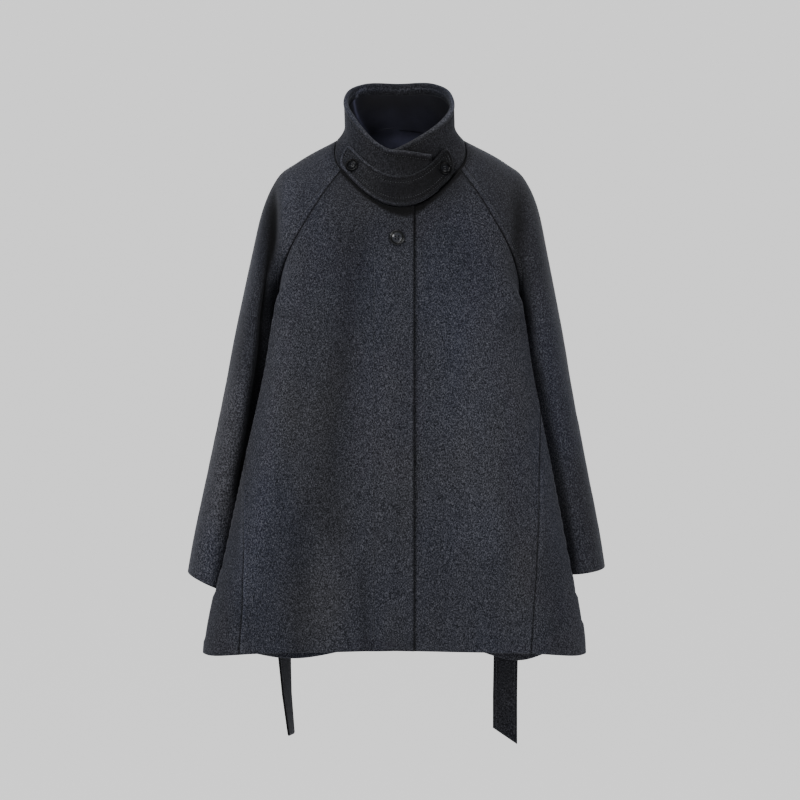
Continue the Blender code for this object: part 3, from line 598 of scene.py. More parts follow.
def meltonMaterial(name, shade=1.0):
    cut = finishes["melton"]
    made, tree, shader, place = nodeMaterial(name, cut["surface"])
    ground, neutral, speck, shadow = (
        scaled(cut[k], shade) for k in ("ground", "neutral", "speck", "shadowSpeck")
    )
    grain = noiseNode(tree, place, cut["grain"], 1.5, 0.6, (1, 1, 0.7))
    fibre = noiseNode(tree, place, cut["fibre"], 1.0, 0.5, (1, 1, 0.35))
    cloud = noiseNode(tree, place, cut["cloudy"], 2.0, 0.5, (1, 1, 0.45))
    cloth = rampNode(tree, cloud, [(0.36, ground), (0.64, neutral)])
    light = rampNode(tree, grain, greys((0.50, 0), (0.80, 1)))
    dark = rampNode(tree, grain, greys((0.30, 1), (0.53, 0)))
    colour = mixNode(tree, light, cloth, (*speck, 1))
    colour = mixNode(tree, dark, colour, (*shadow, 1))
    nap = rampNode(tree, fibre, greys((0.3, 0.72), (0.7, 1.25)))
    colour = mixNode(tree, 1.0, colour, nap, "MULTIPLY")
    tree.links.new(withTone(tree, colour), shader.inputs["Base Color"])
    normal = bumpNode(tree, grain, 0.55, 0.7 * mm)
    tree.links.new(bumpNode(tree, fibre, 0.4, 0.3 * mm, normal), shader.inputs["Normal"])
    return made


def liningMaterial(name, toned=False):
    cut = finishes["lining"]
    made, tree, shader, place = nodeMaterial(name, cut["surface"])
    weave = tree.nodes.new("ShaderNodeTexWave")
    weave.inputs["Scale"].default_value = cut["twill"]
    weave.inputs["Distortion"].default_value = 1.5
    weave.bands_direction = "DIAGONAL"
    tree.links.new(place, weave.inputs["Vector"])
    soft = noiseNode(tree, place, cut["cloudy"], 2.0)
    colour = rampNode(tree, weave.outputs["Fac"], [(0.2, cut["ground"]), (0.9, cut["thread"])])
    shade = rampNode(tree, soft, greys((0.3, 0.75), (0.7, 1.15)))
    colour = mixNode(tree, 1.0, colour, shade, "MULTIPLY")
    if toned:
        colour = withTone(tree, colour)
    tree.links.new(colour, shader.inputs["Base Color"])
    tree.links.new(bumpNode(tree, weave.outputs["Fac"], 0.25, 0.2 * mm), shader.inputs["Normal"])
    return made


def buttonMaterial(name, gloss):
    cut = finishes["button"]
    surface = {"Roughness": 0.22, "Specular IOR Level": gloss}
    made, tree, shader, place = nodeMaterial(name, surface)
    streak = noiseNode(tree, place, cut["streaks"], 3.0, 0.6, (1, 3, 1))
    colour = rampNode(tree, streak, [(0.35, cut["ground"]), (0.75, cut["streak"])])
    tree.links.new(withTone(tree, colour), shader.inputs["Base Color"])
    scratch = noiseNode(tree, place, cut["scratches"], 2.0)
    tree.links.new(bumpNode(tree, scratch, 0.08, 0.1 * mm), shader.inputs["Normal"])
    return made


def threadMaterial(name, colour):
    made, tree, shader, place = nodeMaterial(name, {"Roughness": 0.7})
    twist = noiseNode(tree, place, finishes["thread"]["twist"], 1.0, 0.5, (1, 1, 0.4))
    stops = [(0.3, scaled(colour, 0.6)), (0.7, scaled(colour, 1.5))]
    tree.links.new(rampNode(tree, twist, stops), shader.inputs["Base Color"])
    tree.links.new(bumpNode(tree, twist, 0.5, 0.2 * mm), shader.inputs["Normal"])
    return made


# the body melton, and copies of it with painted shade for the collar and belt and, darker still, the
# strap
melton = meltonMaterial("charcoalMelton")
shadedMelton = meltonMaterial("charcoalMeltonShaded", finishes["doubled"]["collar"])
deeplyShadedMelton = meltonMaterial("charcoalMeltonDeeplyShaded", finishes["doubled"]["strap"])
lining = liningMaterial("liningTwill")
# the lining darkened and lightened by the painted light and shade on the mesh
neckLining = liningMaterial("neckLining", True)
horn = buttonMaterial("buttonHorn", finishes["button"]["frontGloss"])
strapHorn = buttonMaterial("strapButtonHorn", finishes["button"]["strapGloss"])
thread = threadMaterial("sewingThread", finishes["thread"]["sewing"])
tieThread = threadMaterial("buttonThread", finishes["thread"]["tie"])
print("finishes are ready")

stitchRows = []  # each one: points and outward normals of a line of stitches


def addStitches(points, normals, sink=0.05 * mm):
    stitchRows.append((np.asarray(points) - np.asarray(normals) * sink, np.asarray(normals)))


def declare(piece, node, cut):
    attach(piece, "root")
    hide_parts(node)


# Fronts: the right one lies over the left one; the side edge gapes a little at the pocket mouth.
frontCut = {
    "edgeX": 25 * mm,
    "underlapX": -50 * mm,
    "underlapStep": 3.5 * mm,
    "underlapPast": 8 * mm,
    "underlapBlend": 38 * mm,
    "rowSteps": (3.4, 3.6),
    "middleColumns": 72,
    "flyColumns": 16,
    "edgeStitch": 4.5 * mm,
    "flyStitch": 62.5 * mm,
    "flyShowsBelow": -160 * mm,
    "flySewnBelow": -130 * mm,
    "facing": 60 * mm,
    "pocketTop": -466 * mm,
    "pocketLength": 145 * mm,
    "pocketGape": 1.6 * mm,
    "seamFades": {-1: 0.1, 1: 0.65},  # share of the seam's painted shade that fades below the pocket
    "lifts": {
        "seam": (3.4 * mm, 2.2 * mm, 0.45 * mm),
        "edge": (1.8 * mm, 1.6 * mm, 0.5 * mm),
        "edgeStitch": (1.3 * mm, -0.4 * mm),
        "flyStitch": (3.0 * mm, -0.35 * mm),
    },
    # painted light and shade beside lines of the front: how far away, how wide, how much
    "tones": {
        "seam": (0, 1.7 * mm, -0.8),
        "slit": (0, 2.6 * mm, -0.5),
        "lip": (3.2 * mm, 2.0 * mm, 0.6),
        "neck": (0, 60 * mm, -0.3),
        "neckLeft": (0, 28 * mm, -0.3),
        "edge": (0, 2.2 * mm, -0.75),
        "besideEdge": (5 * mm, 3.0 * mm, 0.08),
        "hem": (0, 22 * mm, -0.2),
        "edgeStitch": (0.9 * mm, -0.15),
        "flyStitch": (1.3 * mm, -0.2),
        "underEdge": (3.2 * mm, -0.75),
    },
    "collarShadow": {"across": (14 * mm, 34 * mm, 9.5 * mm), "least": 2.5 * mm, "soft": 8.5 * mm},
    "rolls": (2.0 * mm, 3.0 * mm, 2.4 * mm, 2.0 * mm),
    "flat": (0.345, 0.775),
    "area": 0.19,
    "held": "hung",
}
frontCreases = [  # path in millimetres across and up, width, depth, ridge on its left, shade (painted shade where negative, painted light where positive)
    ([(-52, -70), (-65, -144), (-76, -206), (-88, -284), (-96, -361), (-104, -439), (-107, -517),
      (-98, -620)], 26, 3.6, 0.1, -0.34),
    ([(-128, -480), (-152, -560), (-155, -641), (-160, -820)], 22, 3.4, 0.3, -0.3),
    ([(-164, -60), (-170, -130), (-178, -206), (-181, -284), (-191, -361), (-202, -455), (-222, -579),
      (-240, -700)], 19, -3.6, 0, 0.42),
    ([(28, -150), (28, -300), (29, -420), (29, -520), (28, -660)], 6, 1.6, 0, -0.05),
    ([(-58, -590), (-53, -680), (-50, -840)], 10, 3.0, 0.3, -0.3),
    ([(-20, -260), (-24, -400), (-26, -560)], 26, -1.6, 0, 0.1),
    ([(222, -560), (240, -640), (250, -720), (254, -840)], 24, 3.4, -0.2, -0.22),
    ([(112, -180), (118, -320), (122, -460), (130, -640)], 52, -2.6, 0, 0.2),
    ([(160, -400), (170, -480), (178, -560), (186, -640)], 15, 1.4, 0.4, -0.08),
    ([(56, -540), (60, -640), (66, -800)], 16, 1.8, -0.3, -0.1),
    ([(-200, -200), (-178, -232), (-150, -262), (-120, -282)], 13, 1.2, 0.5, -0.06),
    ([(206, -205), (184, -240), (158, -268), (132, -284)], 13, 1.3, -0.5, -0.1),
    ([(-70, -90), (-92, -130), (-108, -180)], 14, 1.0, 0.4, -0.1),
    ([(80, -92), (100, -132), (114, -176)], 14, 1.2, -0.4, -0.1),
]


def downRows(upperStep, lowerStep, end):
    # depths from the neck down to the hem or cuff, closer together at both ends
    underarm, edge = bodyCut["underarm"], plainEdge / mm
    top, bottom = bodyCut["neck"] + edge, end - edge[::-1]
    upper = np.linspace(top[-1], underarm, int((underarm - top[-1]) / upperStep) + 2)[1:]
    lower = np.linspace(underarm, bottom[0], int((bottom[0] - underarm) / lowerStep) + 2)[1:-1]
    return np.concatenate([top, upper, lower, bottom])


def sewPanel(name, node, face, normals, tone, cut, inside=True):
    # melton, doubled where the hem is turned up inside, and lined above that
    _, toHem = reachAlong(face, 0)
    doubled = 1 - smooth((toHem - bodyCut["hemTurn"]) / (2 * mm))
    thick = bodyCut["cloth"] + bodyCut["hemDouble"] * doubled
    lined = (toHem > bodyCut["hemTurn"] + 1 * mm) & inside
    rolls = cut["rolls"]
    piece = wall(name, face, thick, rolls, [melton, lining], normals, lined=lined, tone=tone)
    declare(piece, node, cut)


def columnAt(reach, row, distance):  # the column of a grid that lies this far from its edge
    return int(np.argmin(np.abs(reach[row] - distance)))


def quarterAt(side, x, down):  # where on a front section the coat has this x
    low, high = np.full(down.shape, -0.5), np.full(down.shape, 0.8)
    for _ in range(30):
        middle = (low + high) / 2
        short = bodyPoint(side, middle, down)[..., 0] * side < x * side
        low, high = np.where(short, middle, low), np.where(short, high, middle)
    return (low + high) / 2


def makeFront(side, name, node):
    cut, right = frontCut, side < 0
    lifts, tones = cut["lifts"], cut["tones"]
    down = downRows(*cut["rowSteps"], bodyCut["hem"])
    start = quarterAt(side, cut["edgeX"] if right else cut["underlapX"], down)
    edge, columns = stitchedEdge, cut["middleColumns"]
    if right:  # more columns at the row of stitches along the fly
        fly = cut["flyStitch"] + np.array([-1.5, -0.7, 0, 0.7, 1.5, 4]) * mm
        edge = np.concatenate([edge, np.arange(18.5 * mm, fly[0] - 1 * mm, 2.8 * mm), fly])
        columns -= cut["flyColumns"]

    def pointAt(quarter, row):
        return bodyPoint(side, quarter, row)

    quarters = spread(pointAt, start, sideSeamAt(side, down), down, edge, stitchedEdge, columns)
    face = bodyPoint(side, quarters, down[:, None])
    face = face[:, ::-1] if right else face
    normals = normalsOf(face)
    if not right:
        ends = cut["edgeX"] + cut["underlapPast"] + cut["underlapBlend"]
        share = smooth((ends - face[..., 0:1]) / cut["underlapBlend"])
        face = face - normals * cut["underlapStep"] * share
    x, z = face[..., 0], face[..., 2]
    run, back = reachAlong(face, 1)
    toSeam, toEdge = (run, back) if right else (back, run)
    toNeck, toHem = reachAlong(face, 0)
    lift, tone = creased(face, normals, frontCreases)
    high = down[:, None] <= bodyCut["underarm"]
    lift = lift * np.where(high, smooth(toSeam / (16 * mm)), 1)
    tone = tone * np.where(high, smooth(toSeam / (8 * mm)), 1)

    along = (cut["pocketTop"] - z[:, 0 if right else -1]) / cut["pocketLength"]
    gape = cut["pocketGape"] * np.sin(np.pi * np.clip(along, 0, 1))
    lift += band(toSeam, 0, 7 * mm, gape[:, None])
    lift += band(toSeam, *lifts["seam"])
    below = smooth((cut["pocketTop"] - cut["pocketLength"] + 22 * mm - z) / (24 * mm))
    slit = smooth((cut["pocketTop"] - z) / (12 * mm)) * (1 - below)
    # painted shade in the side seam and the pocket slit, painted light on the pocket lip
    tone += band(toSeam, *tones["seam"]) * (1 - below * cut["seamFades"][side])
    tone += band(toSeam, *tones["slit"]) * slit
    if right:
        tone += smooth((cut["pocketTop"] - z) / (60 * mm)) * band(toSeam, *tones["lip"])

    # painted shadow under the collar and strap, and painted shade further below the neck
    shadow = cut["collarShadow"]
    deep = shadow["least"] + band(x, *shadow["across"])
    tone += darkest * (1 - smooth((toNeck - deep + 2 * mm) / shadow["soft"]))
    tone += band(toNeck, *tones["neck"])
    tone += band(toNeck, *tones["neckLeft"]) * smooth((x - 45 * mm) / (25 * mm))
    if right:
        flyShows = smooth((cut["flyShowsBelow"] - z) / (50 * mm))
        lift += band(toEdge, cut["edgeStitch"], *lifts["edgeStitch"])
        lift += band(toEdge, *lifts["edge"])
        lift += band(toEdge, cut["flyStitch"], *lifts["flyStitch"]) * flyShows
        # painted shadow along the front edge with painted light beside it, painted shade in the stitch
        # rows and towards the hem
        tone += band(toEdge, *tones["edge"]) + band(toEdge, *tones["besideEdge"])
        tone += band(toEdge, cut["edgeStitch"], *tones["edgeStitch"])
        tone += band(toEdge, cut["flyStitch"], *tones["flyStitch"]) * flyShows
        tone += band(toHem, *tones["hem"]) * smooth((x + 70 * mm) / (40 * mm))
    else:
        # painted shadow cast by the right front's edge
        tone += band(x, cut["edgeX"], *tones["underEdge"])
    face = face + normals * lift[..., None]
    sewPanel(name, node, face, normals, tone, cut, toEdge > cut["facing"])
    if right:
        rows, c = slice(14, -12), columnAt(toEdge, 100, cut["edgeStitch"])
        addStitches(face[rows, c], normals[rows, c])
        c = columnAt(toEdge, 160, cut["flyStitch"])
        rows = np.nonzero(face[:, c, 2] < cut["flySewnBelow"])[0][:-12]
        addStitches(face[rows, c], normals[rows, c])
    return face, normals


frontFaces = {-1: makeFront(-1, "frontRight", "front_right"), 1: makeFront(1, "frontLeft", "front_left")}
print("fronts are ready")

backCut = {
    "rowSteps": (3.6, 3.8),
    "middleColumns": 150,
    # painted shade in the seams and painted light beside the pocket mouths
    "tones": {"seam": (0, 2.0 * mm, -0.7), "besidePocket": (5.5 * mm, 4 * mm, 0.4)},
    "rolls": (2.0 * mm, 3.0 * mm, 2.0 * mm, 2.0 * mm),
    "flat": (0.86, 0.845),
    "area": 0.52,
    "held": "hung",
}
# the same columns as on the front, with painted shade along each crease
backCreases = [
    ([(-10, -60), (4, -160), (-4, -300)], 22, 2.0, 0.3, -0.17),
    ([(-64, -400), (-78, -520), (-96, -660), (-104, -790)], 22, 3.8, 0.22, -0.32),
    ([(-150, -330), (-168, -470), (-186, -620), (-196, -780)], 26, 2.4, -0.5, -0.17),
    ([(60, -400), (72, -540), (86, -660), (90, -790)], 20, 3.6, -0.22, -0.32),
    ([(140, -380), (158, -500), (176, -640), (190, -790)], 24, 2.2, 0.5, -0.15),
    ([(0, -410), (8, -520), (2, -700)], 16, 2.8, 0.3, -0.25),
    ([(-196, -190), (-160, -236), (-110, -262)], 15, 3.0, 0.4, -0.27),
    ([(196, -195), (158, -240), (104, -268)], 15, 2.8, -0.4, -0.25),
    ([(-120, -330), (-60, -352), (0, -358), (64, -350), (122, -330)], 11, 1.4, 0.5, -0.1),
    ([(-214, -300), (-226, -420), (-246, -560)], 16, 1.6, 0.4, -0.11),
    ([(216, -300), (232, -430), (250, -560)], 16, 1.5, -0.4, -0.11),
]


def makeBack():
    cut, tones = backCut, backCut["tones"]
    down = downRows(*cut["rowSteps"], bodyCut["hem"])
    high = down <= bodyCut["underarm"]
    start = np.where(high, 1.0 + 1e-9, sideSeamAt(1, down))
    end = np.where(high, 3.0 - 1e-9, 4 - sideSeamAt(-1, down))

    def pointAt(quarter, row):
        return bodyPoint(1, quarter, row)

    quarters = spread(pointAt, start, end, down, plainEdge, plainEdge, cut["middleColumns"])
    face = bodyPoint(1, quarters, down[:, None])
    normals = normalsOf(face)
    toSeam = np.minimum(*reachAlong(face, 1))
    lift, tone = creased(face, normals, frontCreases, backCreases)
    fade = np.where(high[:, None], smooth(toSeam / (16 * mm)), 1)
    lift, tone = lift * fade, tone * fade
    belowTop = frontCut["pocketTop"] - face[..., 2]
    pocket = smooth(belowTop / (12 * mm)) * smooth((frontCut["pocketLength"] - belowTop) / (12 * mm))
    # painted shade in the side seams, painted light beside the pocket mouths
    tone += band(toSeam, *tones["seam"]) + pocket * band(toSeam, *tones["besidePocket"])
    sewPanel("backPanel", "back", face + normals * lift[..., None], normals, tone, cut)


makeBack()
print("back is ready")

sleeveCut = {
    "rowSteps": (3.0, 3.6),
    "middleColumns": 84,
    "lifts": {"row": (1.5 * mm, -0.45 * mm), "welt": (3.2 * mm, 0.4 * mm)},
    # painted shade in the seams, the stitch rows and under the collar, painted light on the welts
    "tones": {
        "seam": (0, 2.0 * mm, -0.7),
        "neck": (0, 9 * mm, -0.35),
        "row": (1.2 * mm, -0.3),
        "welt": (3.0 * mm, 0.16),
    },
    "rolls": (2.0 * mm, 3.0 * mm, 2.0 * mm, 2.0 * mm),
    "flat": (0.46, 0.72),
    "area": 0.22,
    "held": "hung",
}
sleeveCreases = {  # first the fold beside the body, then those of the arm; the shade is painted shade where negative, painted light where positive
    -1: [
        ([(-196, -10), (-197, -118), (-200, -155), (-203, -217), (-208, -295), (-218, -373),
          (-230, -451), (-243, -520), (-249, -550)], 11, 10.0, 0, -0.66),
        ([(-206, 20), (-206, -118), (-209, -206), (-217, -290), (-226, -350), (-234, -430)],
          12, 1.0, 0, -0.45),
        ([(-168, 20), (-170, -70), (-173, -170)], 14, -3.0, 0, 0.4),
        ([(-250, -300), (-262, -373), (-272, -451), (-284, -529), (-290, -591), (-298, -700)],
          28, -1.0, 0, 0.62),
        ([(-228, -330), (-246, -430), (-258, -520)], 15, 1.4, -0.4, -0.08),
        ([(-236, -250), (-250, -300), (-272, -330)], 12, 1.4, 0.5, -0.07),
        ([(-250, -400), (-272, -420), (-292, -410)], 12, 1.3, 0.5, -0.07),
        ([(-262, -470), (-284, -452), (-300, -424)], 13, 1.2, -0.5, -0.06),
        ([(-272, -560), (-290, -540), (-312, -548)], 14, 1.0, 0.5, -0.05),
        ([(-150, -40), (-176, -80), (-196, -140)], 16, 1.0, 0.4, -0.05),
    ],
    1: [
        ([(190, -10), (189, -92), (184, -154), (188, -208)], 12, 4.0, 0.1, -0.46),
        ([(188, -190), (205, -278), (229, -402), (245, -480), (262, -590), (276, -680)],
          8.5, 3.4, 0.1, -0.06),
        ([(70, 110), (120, 20), (150, -20), (176, -60), (205, -130), (216, -230)], 40, 0.5, 0, -0.3),
        ([(248, -330), (262, -430), (276, -540), (290, -630)], 16, 1.4, 0.4, -0.07),
        ([(276, -420), (290, -520), (300, -600), (308, -700)], 20, 0.3, 0, -0.18),
        ([(252, -262), (262, -312), (280, -338)], 12, 1.2, -0.5, -0.06),
        ([(262, -392), (280, -414), (300, -402)], 12, 1.5, -0.5, -0.08),
        ([(270, -480), (290, -466), (308, -436)], 13, 1.1, 0.5, -0.06),
        ([(280, -570), (300, -556), (320, -566)], 14, 0.9, -0.5, -0.05),
        ([(160, -44), (184, -84), (204, -140)], 16, 0.9, -0.4, -0.05),
    ],
}
# creases on the back of the sleeves, with painted shade along each
sleeveBackCreases = {
    -1: [
        ([(-190, -130), (-204, -200), (-216, -270)], 13, 3.6, 0.4, -0.3),
        ([(-240, -380), (-266, -396), (-294, -384)], 12, 1.7, 0.5, -0.12),
        ([(-244, -420), (-272, -424), (-300, -404)], 11, 1.4, -0.5, -0.1),
        ([(-262, -500), (-286, -486), (-308, -492)], 14, 1.2, 0.4, -0.08),
    ],
    1: [
        ([(198, -124), (212, -196), (226, -280)], 14, 3.4, -0.4, -0.3),
        ([(250, -372), (276, -392), (300, -376)], 12, 1.5, -0.5, -0.11),
        ([(256, -430), (282, -438), (306, -420)], 11, 1.6, 0.5, -0.11),
        ([(272, -520), (296, -504), (318, -512)], 14, 1.1, -0.4, -0.08),
    ],
}


def makeSleeve(side, name, node):
    cut, row, underarm = sleeveCut, armCut["topstitch"], bodyCut["underarm"]
    lifts, tones = cut["lifts"], cut["tones"]
    down = downRows(*cut["rowSteps"], armCut["cuff"])

    def pointAt(roundArm, row):
        return sleevePoint(side, roundArm, row)

    start, end = np.zeros(len(down)), np.full(len(down), 2.0)
    turns = spread(pointAt, start, end, down, stitchedEdge, stitchedEdge, cut["middleColumns"])
    face = sleevePoint(side, turns, down[:, None])
    face = face[:, ::-1] if side < 0 else face
    normals = normalsOf(face)
    seams = reachAlong(face, 1)
    toSeam, toNeck = np.minimum(*seams), reachAlong(face, 0)[0]
    lift, tone = creased(face, normals, sleeveCreases[side], sleeveBackCreases[side])
    lift = lift * smooth(toSeam / (18 * mm))
    raglan = smooth((underarm - 6 - down) / 20)[:, None]
    # painted shade in the seams, the stitch rows and under the collar, painted light on the welts
    tone += band(toSeam, *tones["seam"])
    tone += band(toNeck, *tones["neck"])
    for reach in seams:
        lift += raglan * band(reach, row, *lifts["row"])
        lift += raglan * band(reach, row / 2, *lifts["welt"])
        tone += raglan * band(reach, row / 2, *tones["welt"])
        tone += raglan * band(reach, row, *tones["row"])
    face = face + normals * lift[..., None]
    sewPanel(name, node, face, normals, tone, cut)
    rows = np.nonzero(down < underarm - 12)[0][4:]
    for reach in seams:
        c = columnAt(reach, 40, row)
        addStitches(face[rows, c], normals[rows, c])


makeSleeve(-1, "sleeveRight", "sleeve_right")
makeSleeve(1, "sleeveLeft", "sleeve_left")
print("sleeves are ready")

collarCut = {
    "rim": (
        "angle z",
        (-28, 12),
        (0, 26),
        (30, 44),
        (60, 64),
        (90, 87),
        (112, 106.5),
        (132, 113.5),
        (180, 113),
        (228, 113),
        (248, 106.5),
        (270, 90),
        (294, 73),
        (310, 54),
        (326, 36),
        (345, 23),
        (365, 20),
        (398, 13),
    ),
    "rimX": 85.5 * mm,
    "rimY": 75 * mm,
    "offset": 0.6 * mm,
    "springSide": 26 * mm,
    "springFront": 74 * mm,
    "starts": -28,
    "ends": 398,
    "steps": 42,
    "layerStep": 5.8 * mm,
    "comesOut": (46, 90),
    "thick": 5 * mm,
    "liningBelowRim": 18 * mm,
    "liningShort": 12,
    "liningThick": 1 * mm,
    "liningGap": 0.4 * mm,
    "rimStitch": 9.5 * mm,
    "columns": 300,
    "waves": ((1, 3.1, 20), (0.6, 7.3, 80)),  # how much, how many, where they start
    "waveLift": 0.7 * mm,
    "lifts": {"rim": (3.5 * mm, 3.2 * mm, 0.9 * mm), "stitch": (1.3 * mm, -0.4 * mm)},
    # painted light and shade on the collar, outside and inside
    "tones": {
        "rim": (1.5 * mm, 2.6 * mm, 0.95),
        "rimLeft": (1.5 * mm, 3.4 * mm, 0.9),
        "stitch": (1.2 * mm, 0.5),
        "underStrap": (8 * mm, 30 * mm, 0.68),
        "aroundStrap": (18, 44, 1.0),
        "rightTurn": (-84, 24, 0.42),
        "insideRim": (1.5 * mm, 2.6 * mm, 0.6),
        "insideStitch": (2.0 * mm, 0.9),
        "insideBelow": 0.55,
        "facingLine": (0, 1.5 * mm, 2.4),
        "facingBand": (0, 5 * mm, 0.5),
    },
    "facing": [(-56, 108), (-64, 104), (-68, 98), (-68.7, 86), (-66.3, 72), (-61.5, 60), (-56.3, 49.7),
               (-50.2, 39), (-42, 28)],
    "flat": (0.66, 0.135),
    "area": 0.055,
    "held": "stretched",
}
liningCut = {"flat": (0.53, 0.11), "area": 0.034, "held": "stretched"}


def necklineRing(below=0.0):
    neck = bodyCut["neck"] + below
    quarters = quarterPoint(np.linspace(0, 1, 25), np.full(25, neck)) * mm
    arm = sleevePoint(1, np.linspace(0, 2, 41)[1:], np.full(40, neck))
    arm[:, 0] -= leanAt(arm[:, 2])
    rear = quarterPoint(np.linspace(1, 2, 25)[1:], np.full(24, neck)) * mm
    ring = np.concatenate([quarters, arm, rear])
    return np.degrees(np.arctan2(ring[:, 0], -ring[:, 1])), ring


def neckRing(angle, below):  # the panels a little below the neck edge, by angle
    turn = (angle + 180) % 360 - 180
    keys, ring = necklineRing(below)
    x, y, z = (np.interp(np.abs(turn), keys, ring[:, k]) for k in range(3))
    return vec(np.where(turn >= 0, 1, -1) * x + leanAt(z), y, z)


neckAngles, neckPoints = necklineRing()


def collarBase(angle):
    around = np.abs((angle + 180) % 360 - 180)
    return np.stack([np.interp(around, neckAngles, neckPoints[:, k]) for k in range(3)], -1)


def rimAt(angle):
    return column(collarCut["rim"], "z", angle) * mm


def collarPoint(angle, height, inset=0.0):  # height 0 at the neck seam, 1 at the rim
    angle, height = np.broadcast_arrays(np.asarray(angle, float), np.asarray(height, float))
    turn = (angle + 180) % 360 - 180
    side, radians = np.where(turn >= 0, 1, -1), np.radians(np.abs(turn))
    base = collarBase(angle)
    rim = 1 / np.hypot(np.sin(radians) / collarCut["rimX"], np.cos(radians) / collarCut["rimY"])
    foot = np.hypot(base[..., 0], base[..., 1])
    low = base[..., 2] + collarCut["offset"]
    z = low + (rimAt(angle) - low) * height
    spring = collarCut["springSide"]
    spring = spring + (collarCut["springFront"] - spring) * np.cos(radians) ** 2
    reach = rim + (foot - rim) * (1 - np.minimum((z - low) / spring, 1)) ** 2 - inset
    return vec(side * reach * np.sin(radians) + leanAt(z), -reach * np.cos(radians), z)


def collarInset(angle):
    start, end = collarCut["comesOut"]
    return collarCut["layerStep"] * (1 - smooth((angle - start) / (end - start)))


def collarNormal(angle, height, inset):
    across = collarPoint(angle + 1, height, inset) - collarPoint(angle - 1, height, inset)
    low, high = np.maximum(height - 0.02, 0), np.minimum(height + 0.02, 1)
    fall = collarPoint(angle, low, inset) - collarPoint(angle, high, inset)
    normal = np.cross(fall, across)
    normal[..., 2] = np.where(height <= 0, 0.0, normal[..., 2])
    return normal / lengthOf(normal)


def collarGrid(fromTop, angles):
    # rows at real distances below the rim near it, then evenly down to the seam
    tall = (rimAt(angles) - collarPoint(angles, 0.0)[..., 2])[None, :]
    near = fromTop[:, None] / tall
    rest = np.linspace(0, 1, 26)[1:][:, None]
    heights = np.concatenate([1 - near, (1 - near[-1:]) * (1 - rest)])
    inset = collarInset(angles)[None, :]
    heights, inset, angles = np.broadcast_arrays(heights, inset, angles[None, :])
    return collarPoint(angles, heights, inset), collarNormal(angles, heights, inset)


def facingEdge(face):  # the edge of the inner facing beside the right of the neck: a lighter band where the melton facing is, with a painted highlight along its edge
    distance, tones = pathDistance(face[..., (0, 2)], collarCut["facing"])[0], collarCut["tones"]
    return band(distance, *tones["facingLine"]) + band(distance, *tones["facingBand"])


rimSteps = np.array([0, 0.3, 0.7, 1.3, 2.1, 3.2, 4.6, 6.4, 8.0, 8.9, 9.5, 10.1, 11, 12.2, 14]) * mm


def makeCollar():
    cut, tones, sewn = collarCut, collarCut["tones"], collarCut["rimStitch"]
    edge = plainEdge / cut["rimY"] * 180 / math.pi
    even = np.linspace(cut["starts"] + edge[-1], cut["ends"] - edge[-1], cut["columns"])[1:-1]
    angles = np.concatenate([cut["starts"] + edge, even, cut["ends"] - edge[::-1]])
    turned = (angles + 180) % 360 - 180
    face, normals = collarGrid(rimSteps, angles)
    fromRim, toSeam = reachAlong(face, 0)
    offSeam = smooth(toSeam / (30 * mm))
    wave = sum(much * np.sin(np.radians(angles * many + at)) for much, many, at in cut["waves"])
    lift = cut["waveLift"] * wave[None, :] * offSeam
    lift += band(fromRim, sewn, *cut["lifts"]["stitch"])
    lift += band(fromRim, *cut["lifts"]["rim"])
    face = face + normals * lift[..., None]
    # painted highlight along the rim, painted shade in the stitch row
    tone = band(fromRim, *tones["rim"]) - band(fromRim, sewn, *tones["stitch"])
    leftSide = smooth((angles - 40) / 30) * smooth((150 - angles) / 30)
    tone += band(fromRim, *tones["rimLeft"]) * leftSide
    # painted shade above the strap under the overlap, painted light on the collar's right side
    tone -= band(face[..., 2], *tones["underStrap"]) * band(turned, *tones["aroundStrap"])
    tone += band(turned, *tones["rightTurn"])[None, :] * offSeam
    # inside: painted highlight on the rim and the stitch row, painted shade further down
    inside = band(fromRim, *tones["insideRim"]) + band(fromRim, sewn, *tones["insideStitch"])
    inside = inside - tones["insideBelow"] * smooth((fromRim - sewn) / (9 * mm)) + facingEdge(face)
    thick = cut["thick"] + band(fromRim, 0, 8 * mm, 3.0 * mm)
    rolls, cloth = (3.6 * mm, 0.6 * mm, 2.6 * mm, 2.6 * mm), [shadedMelton]
    piece = wall("funnelCollar", face, thick, rolls, cloth, normals, tone=tone, innerTone=inside)
    declare(piece, "collar", cut)
    row = columnAt(fromRim.T, 60, sewn)
    outer, outward = face[row, 8:-8], normals[row, 8:-8]
    addStitches(outer, outward)
    addStitches(outer - outward * cut["thick"], -outward)


def makeCollarLining():
    cut = collarCut
    step = (cut["ends"] - cut["starts"]) / cut["steps"]
    turn = step * (int((360 - cut["liningShort"]) / step) - 1)
    angles = np.linspace(cut["starts"], cut["starts"] + turn, 220)
    steps = cut["liningBelowRim"] + np.array([0, 0.4, 1.0, 2.0, 3.5]) * mm
    face, normals = collarGrid(steps, angles)
    soft = np.sin(np.radians(angles * 9)) * 0.5 + np.sin(np.radians(angles * 4.3 + 50))
    below, _ = reachAlong(face, 0)
    inner = face - normals * (cut["thick"] + cut["liningGap"])
    inner = inner - normals * (0.35 * mm * (1 + soft[None, :]) * smooth(below / (20 * mm)))[..., None]
    rolls = (0.8 * mm,) * 4
    # painted light and shade inside the collar: darker near the top, lighter deeper down towards front
    # and back
    depth = smooth((below - 8 * mm) / (34 * mm)) * np.cos(np.radians(angles)) ** 2
    tone = 0.65 * depth - 0.78 + facingEdge(inner)
    piece = wall("collarLining", inner, cut["liningThick"], rolls, [neckLining], normals, tone=tone)
    declare(piece, "collar_lining", liningCut)


makeCollar()
makeCollarLining()
print("collar is ready")

